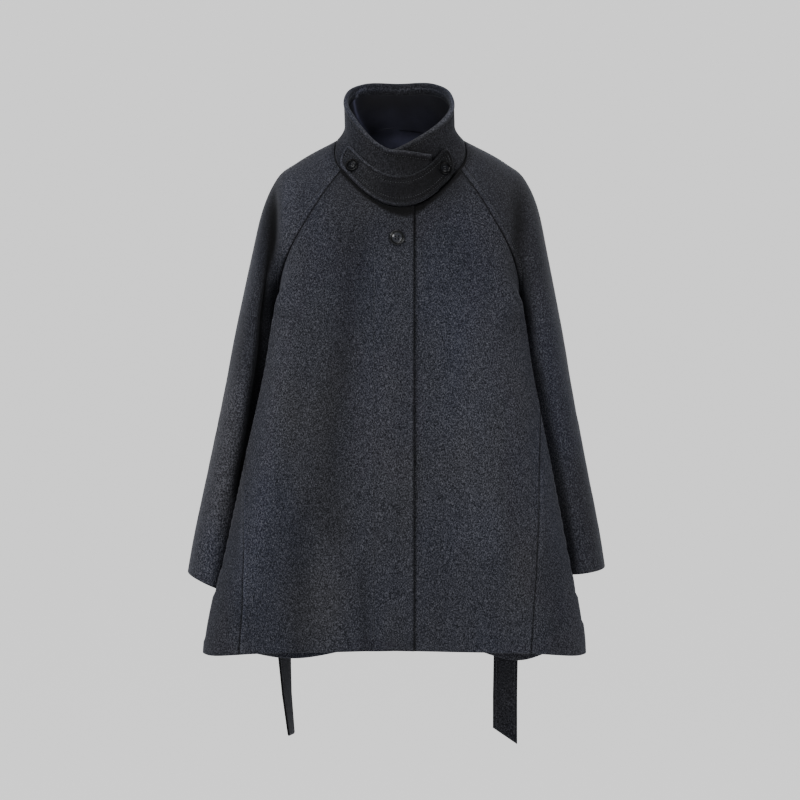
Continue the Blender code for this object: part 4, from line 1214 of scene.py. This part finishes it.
strapCut = {
    "from": -70,
    "to": 61,
    "wide": (
        "share width",
        (0, 29),
        (0.12, 34),
        (0.25, 39),
        (0.5, 45),
        (0.75, 44),
        (1, 41),
    ),
    "thick": 4 * mm,
    "gap": 0.7 * mm,
    "aboveSeam": 0.8 * mm,
    "reach": 100 * mm,
    "stitchRows": (5.5 * mm, 10.5 * mm),
    "endColumns": (0.02, 0.15, 0.4, 0.8, 1.3, 2, 3, 4.2, 5.6, 7.2, 9, 11, 13.2, 15.6, 18.2, 21),
    "edgeRows": (0, 0.012, 0.03, 0.055, 0.09, 0.13, 0.18, 0.22, 0.26, 0.32, 0.38, 0.43, 0.48),
    "lifts": {"edge": (2.8 * mm, 2 * mm, 0.7 * mm), "row": (1.2 * mm, -0.4 * mm)},
    # painted highlight on the rolled edges, painted shade in the stitch rows with painted light beside
    # them
    "tones": {
        "edge": (1.4 * mm, 1.9 * mm, 1.9),
        "row": (1.2 * mm, 0.45),
        "besideRow": (1.4 * mm, 0.35),
    },
    # painted light and shade along the strap: angle, and how much lighter or darker it is painted
    "shades": ((-70, 0.7), (-40, 0.7), (-15, -0.2), (20, -0.45), (40, -0.68), (61, -0.68)),
    "flat": (0.23, 0.048),
    "area": 0.0099,
    "held": "stretched",
}


def strapFace(angle, aboveSeam):
    angle, aboveSeam = np.broadcast_arrays(np.asarray(angle, float), np.asarray(aboveSeam, float))
    angle = np.where(angle < collarCut["ends"] - 360, angle + 360, angle)
    height = aboveSeam / (rimAt(angle) - collarPoint(angle, 0.0)[..., 2])
    normal = collarNormal(angle, height, 0.0)
    return collarPoint(angle, height) + normal * (strapCut["gap"] + strapCut["thick"]), normal


def makeStrap():
    cut, lifts, tones = strapCut, strapCut["lifts"], strapCut["tones"]
    long = math.radians(cut["to"] - cut["from"]) * cut["reach"]
    close = np.array(cut["endColumns"]) * mm / long
    t = np.concatenate([close, np.linspace(close[-1], 1 - close[-1], 92)[1:-1], 1 - close[::-1]])
    wide = column(cut["wide"], "width", t) * mm
    fromEnd, radius = np.minimum(t, 1 - t) * long, wide / 2
    rounded = np.sqrt(np.clip(radius**2 - (radius - fromEnd) ** 2, 0, None))
    half = np.where(fromEnd < radius, rounded, radius)
    edge = np.array(cut["edgeRows"])
    v = np.concatenate([edge, np.linspace(edge[-1], 2 - edge[-1], 17)[1:-1], 2 - edge[::-1]]) - 1
    across = -v[:, None] * half[None, :]
    angles = cut["from"] + (cut["to"] - cut["from"]) * t
    face, normals = strapFace(angles[None, :], (cut["aboveSeam"] + wide / 2)[None, :] + across)
    inside = radius - np.hypot(np.maximum(radius - fromEnd, 0)[None, :], across)
    inside = np.maximum(inside, 0)
    # painted highlight on the edges, painted shade in the stitch rows
    lift, tone = band(inside, *lifts["edge"]), band(inside, *tones["edge"])
    for row in cut["stitchRows"]:
        lift += band(inside, row, *lifts["row"])
        tone = tone - band(inside, row, *tones["row"])
        tone = tone + band(inside, row + 2.6 * mm, *tones["besideRow"])
    face = face + normals * lift[..., None]
    drop = rolled(inside, 2.3 * mm)
    drop[0] = drop[-1] = drop[:, 0] = drop[:, -1] = 1.0
    # painted light at the strap's right end, painted shade towards its left end
    tone = (1 + tone) * (1 + np.interp(angles, *zip(*cut["shades"]))[None, :]) - 1
    piece = wall("throatStrap", face, cut["thick"], None, [deeplyShadedMelton], normals, drop, tone=tone)
    declare(piece, "collar_strap", cut)
    for row in cut["stitchRows"]:
        strapStitches(row, long)


def strapStitches(row, long):
    cut = strapCut
    s = np.concatenate([np.linspace(0, long, 90), np.linspace(long, 0, 90)])
    upper = np.arange(180) < 90
    t = s / long
    wide = column(cut["wide"], "width", t) * mm
    radius, fromEnd = wide / 2, np.minimum(t, 1 - t) * long
    inner = radius - row
    off = np.maximum(radius - fromEnd, 0)
    keep = off < inner
    half = np.sqrt(np.clip(inner**2 - off**2, 0, None))
    above = cut["aboveSeam"] + wide / 2 + np.where(upper, half, -half)
    angles = cut["from"] + (cut["to"] - cut["from"]) * t
    points, normals = strapFace(angles[keep], above[keep])
    points, normals = np.concatenate([points, points[:1]]), np.concatenate([normals, normals[:1]])
    addStitches(points, normals, 0.42 * mm)


makeStrap()
print("throat strap is ready")

buttonCut = {
    "frontX": -1.5 * mm,
    "frontZ": -112.5 * mm,
    "frontRadius": 12 * mm,
    "strapPlaces": {"right": (-54, 14 * mm), "left": (48, 18 * mm)},  # angle, height above the seam
    "strapRadius": 10.5 * mm,
    "strapLift": 1.1 * mm,
    # painted shade on the strap buttons
    "strapShade": -0.75,
    "lift": 0.4 * mm,
    "turns": 72,
    "thick": 0.28,  # this and what follows are shares of the radius, heights are shares of this
    "profile": (
        (0, 0.98), (0.2, 0.95), (0.38, 0.86), (0.52, 0.72), (0.62, 0.58), (0.69, 0.70), (0.75, 0.94),
        (0.81, 1.0), (0.88, 0.98), (0.94, 0.90), (0.98, 0.76), (1.0, 0.58), (0.99, 0.36),
        (0.94, 0.16), (0.86, 0.04), (0.6, 0.0), (0, 0.0),
    ),
    "holeAway": 0.26,
    "hole": 0.12,
    "bevel": 0.012,
    "thread": 0.022,
    "threadsApart": 0.034,
}


def surfaceAt(x, z, back=False):  # point and outward normal of the body at an x and a height
    side = np.where(back & (x < 0), -1, 1)
    quarter = np.where(back, 1.6, 0.4) + 0 * x
    down = np.minimum(-z / mm, bodyCut["hem"]) + 0 * x
    low, high = (1.1, 2.6) if back else (-0.4, 0.95)
    for _ in range(14):
        here = bodyPoint(side, quarter, down)
        slope = (bodyPoint(side, quarter + 0.01, down) - here)[..., 0] / 0.01
        quarter = np.clip(quarter + 0.9 * (x - here[..., 0]) / slope, low, high)
        down = np.clip(down + 0.9 * (here[..., 2] - z) / mm, bodyCut["neck"] + 1, bodyCut["hem"])
    here = bodyPoint(side, quarter, down)
    across = bodyPoint(side, quarter + 0.01, down) - bodyPoint(side, quarter - 0.01, down)
    normal = np.cross(here - bodyPoint(side, quarter, down - 1.0), across) * side[..., None]
    return here, normal / lengthOf(normal)


def makeButton(name, node, centre, normal, radius, shade, finish):
    # turned profile from the middle of the face over the rim to the middle of the back
    cut, turns = buttonCut, buttonCut["turns"]
    thick, profile = cut["thick"] * radius, cut["profile"]
    angles = np.linspace(0, 2 * math.pi, turns, endpoint=False)
    rings = [(r * radius, z * thick) for r, z in profile[1:-1]]
    points = [[0, 0, profile[0][1] * thick], [0, 0, 0]]
    points += [[r * math.cos(a), r * math.sin(a), z] for r, z in rings for a in angles]
    points = np.array(points)
    faces = []
    for i in range(turns):
        after, last = (i + 1) % turns, 2 + (len(rings) - 1) * turns
        faces += [(0, 2 + i, 2 + after), (1, last + after, last + i)]
        for a in range(2, last, turns):
            b = a + turns
            faces.append((a + i, b + i, b + after, a + after))
    reach = np.hypot(points[:, 0], points[:, 1]) / radius
    # painted shade from the rim's inner slope outwards, less of it on the outer edge, and the whole
    # button darker by the shade
    dark = smooth((reach - 0.6) / 0.08) * (1 - 0.4 * smooth((reach - 0.84) / 0.08))
    tone = (1 + shade) * (1 - 0.93 * dark) - 1
    disc = meshObject(name + "Disc", points, faces, [finish], tone=tone)
    drills = []
    for i in range(4):
        angle = math.pi / 4 + i * math.pi / 2
        at = cut["holeAway"] * radius * np.array([math.cos(angle), math.sin(angle), 0])
        bpy.ops.mesh.primitive_cylinder_add(
            vertices=24, radius=cut["hole"] * radius, depth=4 * thick, location=at
        )
        drills.append(bpy.context.object)
        drill = disc.modifiers.new(f"hole{i}", "BOOLEAN")
        drill.object, drill.operation, drill.solver = drills[-1], "DIFFERENCE", "EXACT"
    soften = disc.modifiers.new("soften", "BEVEL")
    soften.width, soften.segments, soften.limit_method = cut["bevel"] * radius, 2, "ANGLE"
    soften.angle_limit = math.radians(50)
    graph = bpy.context.evaluated_depsgraph_get()
    mesh = bpy.data.meshes.new_from_object(disc.evaluated_get(graph))
    for old in [disc] + drills:
        bpy.data.objects.remove(old)
    xAxis = np.cross((0, 0, 1), normal)
    xAxis /= np.linalg.norm(xAxis)
    place = np.eye(4)
    place[:3] = np.stack([xAxis, np.cross(normal, xAxis), normal, centre], axis=1)
    mesh.transform(Matrix(place.tolist()))
    mesh.shade_smooth()
    mesh.set_sharp_from_angle(angle=math.radians(38))
    piece = placeObject(name, mesh)
    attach(piece, "root")
    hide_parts(node)
    makeTie(name, place, radius, thick)


def makeTie(name, place, radius, thick):
    # thread through the holes: two pairs of short strands, rising from one hole to the next
    cut = buttonCut
    hole = cut["holeAway"] * math.cos(math.pi / 4) * radius
    t = np.linspace(-1, 1, 9)
    z = thick * (0.80 + 0.14 * (1 - t**4) - 0.6 * np.maximum(0, np.abs(t) - 0.8) / 0.2)
    points, faces = [], []
    for sign in (-1, 1):
        for strand in (-0.5, 0.5):
            y = sign * hole + strand * cut["threadsApart"] * radius
            strandPoints, strandFaces = tube(vec(hole * t * 1.05, y, z), cut["thread"] * radius, 6)
            faces += [tuple(i + len(points) for i in face) for face in strandFaces]
            points += strandPoints
    points = np.array(points) @ place[:3, :3].T + place[:3, 3]
    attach(meshObject(name + "Thread", points, faces, [tieThread]), "root")


def tube(spine, radius, sides):
    tangents = np.gradient(spine, axis=0)
    tangents /= lengthOf(tangents)
    points, faces = [], []
    for p, t in zip(spine, tangents):
        a = np.cross(t, (0, 0, 1))
        a /= np.linalg.norm(a)
        b = np.cross(t, a)
        for angle in np.arange(sides) * 2 * math.pi / sides:
            points.append(p + radius * (a * math.cos(angle) + b * math.sin(angle)))
    for k in range(0, len(points) - sides, sides):
        for i in range(sides):
            after = (i + 1) % sides
            faces.append((k + i, k + after, k + sides + after, k + sides + i))
    faces += [tuple(range(sides))[::-1], tuple(range(len(points) - sides, len(points)))]
    return points, faces


def makeButtons():
    cut, radius = buttonCut, buttonCut["frontRadius"]
    point, normal = surfaceAt(np.array(cut["frontX"]), np.array(cut["frontZ"]))
    makeButton("frontButton", "front_button", point + normal * cut["lift"], normal, radius, 0.0, horn)
    shade, radius = cut["strapShade"], cut["strapRadius"]
    for side, (angle, height) in cut["strapPlaces"].items():
        name, node = f"strapButton{side.title()}", f"strap_button_{side}"
        point, normal = strapFace(angle, height)
        point = point + normal * cut["strapLift"]
        makeButton(name, node, point, normal, radius, shade, strapHorn)


makeButtons()
print("buttons are ready")

beltCut = {
    "width": 38 * mm,
    "thick": 3.5 * mm,
    "z": -371 * mm,
    "off": 0.9 * mm,
    "layer": 0.4 * mm,
    "foldMargin": 3 * mm,
    "foldLift": 1.5 * mm,
    "pastLoop": 8 * mm,
    "closes": (60, 180),
    "tails": {
        -1: ("down x turn", (371, -161, 0), (480, -166, 0), (600, -171, 2), (690, -176, 16),
             (785, -177.5, 44), (850, -173.5, 55), (915, -166.5, 64)),
        1: ("down x turn", (371, 157, 0), (480, 161, 0), (600, 165, 0), (700, 168, -4),
            (790, 168, -10), (850, 167, -12), (915, 167, -12)),
    },
    "slant": {-1: 0.0, 1: 26 * mm},
    "stitch": 5 * mm,
    "edgeColumns": (0, 0.006, 0.016, 0.03, 0.05, 0.075, 0.1, 0.12, 0.132, 0.145, 0.17, 0.22),
    # painted shade along the edges and stitch rows, and on the right tail below the hem
    "tones": {"edge": (0, 2 * mm, -0.3), "row": (1 * mm, -0.2), "rightTailBelow": (-0.70, -0.42)},
    "flat": (1.5, 0.038),
    "area": 0.0556,
    "held": "hung",
}
loopCut = {
    "x": 122 * mm,
    "width": 11 * mm,
    "height": 56 * mm,
    "thick": 2 * mm,
    "rise": 0.26,
    "flat": (0.011, 0.062),
    "area": 0.00066,
    "held": "stretched",
}


def onBack(x, z, lift):
    point, normal = surfaceAt(np.asarray(x, float), np.asarray(z, float), back=True)
    flat = vec(normal[..., 0], normal[..., 1], 0)
    flat /= lengthOf(flat)
    return point + flat * np.asarray(lift)[..., None], flat


def beltTail(side):  # from the cut end up to the fold: inner edge, outer edge, facing
    cut = beltCut
    table = cut["tails"][side]
    drops, places, _ = np.array(table[1:], float).T
    half = cut["width"] / 2
    down = np.linspace(drops[-1], drops[0] + (half + cut["foldMargin"]) / mm, 190)
    x = np.interp(down, drops, places) * mm
    turn = np.radians(column(table, "turn", down))
    near, far = beltLifts()
    lift = far + (near - far) * between(down - drops[0], *cut["closes"]) + np.abs(np.sin(turn)) * half
    middle, normal = onBack(x, -down * mm, lift)
    middle = vec(x, middle[:, 1], -down * mm)
    flat = side * vec(normal[:, 1], -normal[:, 0], 0)
    across = flat * np.cos(turn)[:, None] - normal * np.sin(turn)[:, None]
    slant = np.zeros((len(down), 3))
    slant[:, 2] = cut["slant"][side] / 2 * np.clip(1 - np.arange(len(down)) / 14, 0, 1)
    facing = np.cross(across, (0, 0, 1)) * side
    return middle - across * half + slant, middle + across * half - slant, facing


def beltLifts():
    near = beltCut["off"] + beltCut["thick"] / 2
    return near, near + beltCut["thick"] + beltCut["layer"]


def beltFold(side):  # the slanting fold at the waist, rolled over from the end to the run
    cut = beltCut
    near, _ = beltLifts()
    x, half = cut["tails"][side][1][1] * mm, cut["width"] / 2
    middle, normal = onBack(np.array([x]), np.array([cut["z"]]), np.array([0.0]))
    flat = side * vec(normal[:, 1], -normal[:, 0], 0)
    up = np.array([[0, 0, 1.0]])
    slant, away = (flat - up) * half, (flat + up) / math.sqrt(2)
    angles = np.linspace(0, math.pi, 11)[:, None]
    radius = (cut["thick"] + cut["layer"]) / 2
    centre = middle + normal * (near + cut["foldLift"] + radius)
    centre = centre + normal * radius * np.cos(angles) + away * radius * np.sin(angles)
    facing = -normal * np.cos(angles) - away * np.sin(angles)
    return centre - slant, centre + slant, facing


def beltRun():  # across the back: upper edge, lower edge, outward
    cut = beltCut
    half, near = cut["width"] / 2, beltLifts()[0]
    reach = loopCut["x"] + cut["pastLoop"]
    upper = lower = np.linspace(-reach, reach, 90)
    for side in (-1, 1):
        fold = cut["tails"][side][1][1] * mm + side * np.array([-half, half])
        steps = np.linspace(0, 1, 9)[1:-1]
        ends = [side * reach + (edge - side * reach) * steps for edge in fold]
        if side < 0:
            upper, lower = (np.concatenate([e[::-1], u]) for e, u in zip(ends, (upper, lower)))
        else:
            upper, lower = (np.concatenate([u, e]) for e, u in zip(ends, (upper, lower)))
    high, normal = onBack(upper, cut["z"] + half + 0 * upper, near + 0 * upper)
    low, _ = onBack(lower, cut["z"] - half + 0 * upper, near + 0 * upper)
    return high, low, normal


def makeBelt():
    cut, tones = beltCut, beltCut["tones"]
    parts = [beltTail(-1), beltFold(-1), beltRun()]
    parts += [tuple(edge[::-1] for edge in part) for part in (beltFold(1), beltTail(1))]
    first, second, normal = (np.concatenate([part[k] for part in parts]) for k in range(3))
    edge = np.array(cut["edgeColumns"])
    v = np.concatenate([edge, np.linspace(edge[-1], 1 - edge[-1], 9)[1:-1], 1 - edge[::-1]])
    face = second[None] + (first - second)[None] * v[:, None, None] + normal[None] * cut["thick"] / 2
    normals = np.broadcast_to(normal[None], face.shape)
    inside = np.minimum(v, 1 - v)[:, None] * lengthOf(first - second).T
    face = face - normals * band(inside, cut["stitch"], 1.1 * mm, 0.35 * mm)[..., None]
    drop = np.max([rolled(d, 1.8 * mm) for d in (inside, *reachAlong(face, 1))], axis=0)
    # painted shade along the edges and stitch rows, and on the right tail below the hem
    tone = band(inside, *tones["edge"]) + band(inside, cut["stitch"], *tones["row"])
    below, shade = tones["rightTailBelow"]
    tone = tone + shade * smooth((below - face[..., 2]) / (80 * mm)) * (face[..., 0] < 0)
    piece = wall("waistBelt", face, cut["thick"], None, [shadedMelton], normals, drop, tone=tone)
    declare(piece, "belt", cut)
    for share in (cut["stitch"], cut["width"] - cut["stitch"]):
        rail = second + (first - second) * (share / cut["width"])
        for out in (1, -1):
            line = rail + normal * out * cut["thick"] / 2
            addStitches(line[4:-4], (normal * out)[4:-4], 0.1 * mm)


def makeLoops():
    cut = loopCut
    t, u = np.broadcast_arrays(np.linspace(1, -1, 60)[:, None], np.linspace(-1, 1, 15)[None, :])
    low = cut["thick"] / 2 + beltCut["layer"]
    high = beltCut["off"] + beltCut["thick"] + low
    off = low + (high - low) * smooth((1 - np.abs(t)) / cut["rise"]) + cut["thick"] / 2
    z = beltCut["z"] + t * cut["height"] / 2
    for side, end in ((-1, "Right"), (1, "Left")):
        face, _ = onBack(side * cut["x"] - u * cut["width"] / 2, z, off)
        piece = wall(f"beltLoop{end}", face, cut["thick"], (0.9 * mm,) * 4, [melton])
        declare(piece, f"belt_loop_{end.lower()}", cut)


makeBelt()
makeLoops()
print("belt is ready")

pocketCut = {  # its place and outline come from the CAD's own bag
    "thick": 2.4 * mm,
    "gap": 0.9 * mm,
    "rolls": (4 * mm, 9 * mm, 4 * mm, 4 * mm),
    "flat": (0.16, 0.25),
    "area": 0.031,
    "held": "hung",
}


def makePocketBag(side, name, node):
    cut, (low, high) = pocketCut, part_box(node)
    face, normals = frontFaces[side]
    z = face[:, face.shape[1] // 2, 2]
    rows = np.nonzero((z < high[2]) & (z > low[2]))[0][::3]
    x = face[len(face) // 2, :, 0]
    columns = np.nonzero(x < high[0] if side < 0 else x > low[0])[0][1:-1:3]
    grid, out = face[rows][:, columns], normals[rows][:, columns]
    grid = grid - out * (bodyCut["cloth"] + cut["gap"])
    piece = wall(name, grid, cut["thick"], cut["rolls"], [lining], out)
    declare(piece, node, cut)


makePocketBag(-1, "pocketBagRight", "pocket_bag_right")
makePocketBag(1, "pocketBagLeft", "pocket_bag_left")
print("pocket bags are ready")

stitchCut = {  # the inputs of the tree
    "Pitch": 4.0 * mm,
    "Stitch length": 2.9 * mm,
    "Thread radius": 0.30 * mm,
    "Wander": 0.10,
    "Seed": 7,
}
stitchShape = {"points": 5, "sides": 6, "bow": -6.0}


def stitchTree():
    # a short bowed bar of thread on each point of a line, lying along it
    tree = bpy.data.node_groups.new("rowOfStitches", "GeometryNodeTree")
    face = tree.interface
    face.new_socket("Line", in_out="INPUT", socket_type="NodeSocketGeometry")
    for name in stitchCut:
        kind = "NodeSocketInt" if name == "Seed" else "NodeSocketFloat"
        face.new_socket(name, in_out="INPUT", socket_type=kind)
    face.new_socket("Stitches", in_out="OUTPUT", socket_type="NodeSocketGeometry")
    add, link = tree.nodes.new, tree.links.new

    def maths(operation, first, second=0.5):
        node = add("ShaderNodeMath")
        node.operation = operation
        feed(tree, node.inputs[0], first)
        feed(tree, node.inputs[1], second)
        return node.outputs[0]

    given, made = add("NodeGroupInput"), add("NodeGroupOutput")
    curve, even = add("GeometryNodeMeshToCurve"), add("GeometryNodeResampleCurve")
    even.mode = "LENGTH"
    link(given.outputs["Line"], curve.inputs["Mesh"])
    link(curve.outputs["Curve"], even.inputs["Curve"])
    link(given.outputs["Pitch"], even.inputs["Length"])

    bar, bend = add("GeometryNodeCurvePrimitiveLine"), add("GeometryNodeSetPosition")
    half = maths("MULTIPLY", given.outputs["Stitch length"], 0.5)
    for end, sign in (("Start", -1), ("End", 1)):
        pack = add("ShaderNodeCombineXYZ")
        link(maths("MULTIPLY", half, sign), pack.inputs["X"])
        link(pack.outputs[0], bar.inputs[end])
    count, along = add("GeometryNodeResampleCurve"), add("GeometryNodeSplineParameter")
    count.inputs["Count"].default_value = stitchShape["points"]
    link(bar.outputs["Curve"], count.inputs["Curve"])
    away = maths("ABSOLUTE", maths("SUBTRACT", along.outputs["Factor"], 0.5))
    bow = maths("MULTIPLY", maths("POWER", away, 2.0), stitchShape["bow"])
    shift = add("ShaderNodeCombineXYZ")
    link(maths("MULTIPLY", bow, given.outputs["Thread radius"]), shift.inputs["Z"])
    link(count.outputs["Curve"], bend.inputs["Geometry"])
    link(shift.outputs[0], bend.inputs["Offset"])

    ring, solid = add("GeometryNodeCurvePrimitiveCircle"), add("GeometryNodeCurveToMesh")
    ring.inputs["Resolution"].default_value = stitchShape["sides"]
    link(given.outputs["Thread radius"], ring.inputs["Radius"])
    link(bend.outputs["Geometry"], solid.inputs["Curve"])
    link(ring.outputs["Curve"], solid.inputs["Profile Curve"])
    solid.inputs["Fill Caps"].default_value = True

    outward, tangent = add("GeometryNodeInputNamedAttribute"), add("GeometryNodeInputTangent")
    outward.data_type = "FLOAT_VECTOR"
    outward.inputs["Name"].default_value = "outward"
    stand, lay = add("FunctionNodeAlignRotationToVector"), add("FunctionNodeAlignRotationToVector")
    stand.axis, lay.axis, lay.pivot_axis = "Z", "X", "Z"
    link(outward.outputs["Attribute"], stand.inputs["Vector"])
    link(stand.outputs["Rotation"], lay.inputs["Rotation"])
    link(tangent.outputs["Tangent"], lay.inputs["Vector"])
    vary = add("FunctionNodeRandomValue")
    vary.data_type = "FLOAT_VECTOR"
    link(maths("SUBTRACT", 1.0, given.outputs["Wander"]), vary.inputs["Min"])
    link(maths("ADD", 1.0, given.outputs["Wander"]), vary.inputs["Max"])
    link(given.outputs["Seed"], vary.inputs["Seed"])

    sew, real = add("GeometryNodeInstanceOnPoints"), add("GeometryNodeRealizeInstances")
    link(even.outputs["Curve"], sew.inputs["Points"])
    link(solid.outputs["Mesh"], sew.inputs["Instance"])
    link(lay.outputs["Rotation"], sew.inputs["Rotation"])
    link(vary.outputs["Value"], sew.inputs["Scale"])
    link(sew.outputs["Instances"], real.inputs["Geometry"])
    paint = add("GeometryNodeSetMaterial")
    paint.inputs["Material"].default_value = thread
    link(real.outputs["Geometry"], paint.inputs["Geometry"])
    link(paint.outputs["Geometry"], made.inputs["Stitches"])
    return tree


def makeStitches():
    points, outward = (np.concatenate([row[k] for row in stitchRows]) for k in range(2))
    edges, start = [], 0
    for row, _ in stitchRows:
        edges += [(start + i, start + i + 1) for i in range(len(row) - 1)]
        start += len(row)
    mesh = bpy.data.meshes.new("stitchLines")
    mesh.from_pydata(points.tolist(), edges, [])
    values = mesh.attributes.new("outward", "FLOAT_VECTOR", "POINT").data
    values.foreach_set("vector", outward.ravel().astype(np.float32))
    lines = placeObject("stitchLines", mesh)
    sewing = lines.modifiers.new("sewing", "NODES")
    sewing.node_group = stitchTree()
    for socket in sewing.node_group.interface.items_tree:
        if socket.in_out == "INPUT" and socket.name in stitchCut:
            sewing[socket.identifier] = stitchCut[socket.name]
    lines.update_tag()
    graph = bpy.context.evaluated_depsgraph_get()
    sewn = bpy.data.meshes.new_from_object(lines.evaluated_get(graph))
    bpy.data.objects.remove(lines)
    sewn.shade_smooth()
    piece = placeObject("topstitching", sewn)
    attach(piece, "root")
    print("stitches:", len(sewn.polygons), "faces")


makeStitches()

tapeCut = {
    "steps": np.array([0.3, 2, 4, 6.5, 9]) * mm,
    "thick": 0.8 * mm,
    "under": 0.35 * mm,
    "short": 6,  # below the underarm
    "neckUp": 7 * mm,
    "neckInset": 6.6 * mm,
    "neckGap": 1.6 * mm,
    "neckTones": (-0.5, -0.3, 0.1, 0.5, 1.0, 2.0, 3.0, 3.8),  # painted shade and light at the back, from the top down
}


def seamStrip(name, pieces, down):
    # the turnings inside a seam; pieces are two of: surface, key of its edge, direction into it
    halves = []
    for pointAt, edge, inward in pieces:
        small = 0.004 * inward
        scale = lengthOf(pointAt(edge + small, down) - pointAt(edge, down))[..., 0] / abs(small)
        keys = edge[:, None] + inward * tapeCut["steps"] / scale[:, None]
        halves.append(pointAt(keys, down[:, None]))
    face = np.concatenate([halves[0][:, ::-1], halves[1]], axis=1)
    normals = normalsOf(face)
    face = face - normals * (bodyCut["cloth"] + tapeCut["under"])
    piece = wall(name, face, tapeCut["thick"], (0.3 * mm,) * 4, [melton], normals)
    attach(piece, "root")


def makeSeamStrips():
    start = bodyCut["underarm"] + tapeCut["short"]
    high = np.linspace(bodyCut["neck"], 226, 90)
    arm = np.linspace(start, armCut["cuff"] - 2, 130)
    low = np.linspace(start, bodyCut["hem"] - 2, 160)
    for side, name in ((-1, "Right"), (1, "Left")):
        def body(key, down):
            return bodyPoint(side, key, down)

        def sleeve(key, down):
            return sleevePoint(side, key, down)

        seam = sideSeamAt(side, low)
        strips = {  # the piece on the right of each seam comes first
            "frontRaglan": ([(body, 1 - 1e-6 + 0 * high, -1), (sleeve, 0 * high, 1)], high),
            "backRaglan": ([(sleeve, 2 + 0 * high, -1), (body, 1 + 1e-6 + 0 * high, 1)], high),
            "sleeve": ([(sleeve, 2 + 0 * arm, -1), (sleeve, 0 * arm, 1)], arm),
            "side": ([(body, seam, -1), (body, seam, 1)], low),
        }
        for seamName, (pieces, down) in strips.items():
            seamStrip(f"{seamName}Turnings{name}", pieces[::side], down)


def makeNeckTape():
    cut, collar = tapeCut, collarCut
    angles = np.linspace(collar["starts"], collar["starts"] + 359.9, 240)
    inset = cut["neckInset"] + collarInset(angles)
    inset = inset + collar["layerStep"] * smooth((angles - 318) / 14)
    tall = rimAt(angles) - collarPoint(angles, 0.0)[..., 2]
    rows = [collarPoint(angles, cut["neckUp"] * share / tall, inset) for share in (1, 0.66, 0.33, 0.05)]
    lower = neckRing(angles, 10.0)
    normal = np.cross(lower - neckRing(angles, 0.0), np.gradient(lower, axis=0))
    normal *= (bodyCut["cloth"] + cut["neckGap"]) / lengthOf(normal)
    rows += [neckRing(angles, below) - normal for below in (1.5, 6, 14, 24)]
    # painted light inside the back of the neck, painted shade round the front
    behind = smooth(-np.cos(np.radians(angles)) * 2.5)[None, :]
    tone = np.array(cut["neckTones"])[:, None] * behind + darkest * (1 - behind)
    thick, rolls = cut["thick"], (0.3 * mm,) * 4
    piece = wall("neckTape", np.array(rows), thick, rolls, [neckLining], tone=tone)
    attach(piece, "root")


makeSeamStrips()
makeNeckTape()
print("turnings are ready")

studio = {
    "aimX": 3.1 * mm,
    "aimZ": -372 * mm,
    "frameSize": 1.24,
    "elevation": 5,
    "distance": 32,
    "backdrop": {
        "floorZ": -1.5,
        "front": -60,
        "bendStart": 36,  # the floor curves up far behind the coat, with room to look at its back
        "bend": 8,
        "top": 76,
        "halfWidth": 77,
        "colour": (0.4, 0.4, 0.4),
        "surface": {
            "Roughness": 1.0,
            "Specular IOR Level": 0.0,
            "Emission Color": (1, 1, 1, 1),
            "Emission Strength": 0.86,
        },
    },
    "sensor": 36,
    "world": 0.6,
    "lights": {  # place, size, power
        "keyLeft": ((-2.2, -2.8, 2.6), 1.2, 215),
        "fillRight": ((2.6, -3.2, 0.0), 2.0, 140),
        "top": ((-0.6, -0.6, 2.6), 1.4, 45),
        "behind": ((0, 4.2, 0.3), 2.0, 150),
    },
}


def makeStudio():
    cut = studio
    camera = placeObject("camera", bpy.data.cameras.new("camera"))
    rise = math.radians(cut["elevation"])
    aim = Vector((cut["aimX"], 0, cut["aimZ"] / math.cos(rise)))
    back = Vector((0, -math.cos(rise), math.sin(rise)))
    camera.location = aim + back * cut["distance"]
    camera.rotation_euler = (-back).to_track_quat("-Z", "Y").to_euler()
    camera.data.sensor_width = cut["sensor"]
    camera.data.lens = cut["sensor"] * cut["distance"] / cut["frameSize"]
    camera.data.clip_end = 200
    bpy.context.scene.camera = camera
    world = bpy.data.worlds.new("studio")
    bpy.context.scene.world = world
    world.use_nodes = True
    sky = world.node_tree.nodes["Background"]
    sky.inputs["Color"].default_value = (1, 1, 1, 1)
    sky.inputs["Strength"].default_value = cut["world"]
    for name, (place, size, power) in cut["lights"].items():
        light = bpy.data.lights.new(name, "AREA")
        light.size, light.energy = size, power
        lamp = placeObject(name, light)
        lamp.location = place
        lamp.visible_camera = False
        lamp.rotation_euler = (aim - Vector(place)).to_track_quat("-Z", "Y").to_euler()


def makeBackdrop():
    cut = studio["backdrop"]
    floor, start, bend = cut["floorZ"], cut["bendStart"], cut["bend"]
    profile = [(cut["front"], floor), (start, floor)]
    for a in np.linspace(0, math.pi / 2, 24)[1:]:
        profile.append((start + bend * math.sin(a), floor + bend * (1 - math.cos(a))))
    profile.append((start + bend, cut["top"]))
    points = [(x, y, z) for y, z in profile for x in (-cut["halfWidth"], cut["halfWidth"])]
    faces = [(2 * i, 2 * i + 1, 2 * i + 3, 2 * i + 2) for i in range(len(profile) - 1)]
    paper, tree, shader, place = nodeMaterial("backdropPaper", cut["surface"])
    stops = [(0.3, cut["colour"]), (0.7, scaled(cut["colour"], 1.005))]
    mottle = rampNode(tree, noiseNode(tree, place, 0.8), stops)
    tree.links.new(mottle, shader.inputs["Base Color"])
    meshObject("backdrop", np.array(points, float), faces, [paper])


makeStudio()
makeBackdrop()
print("studio is ready")
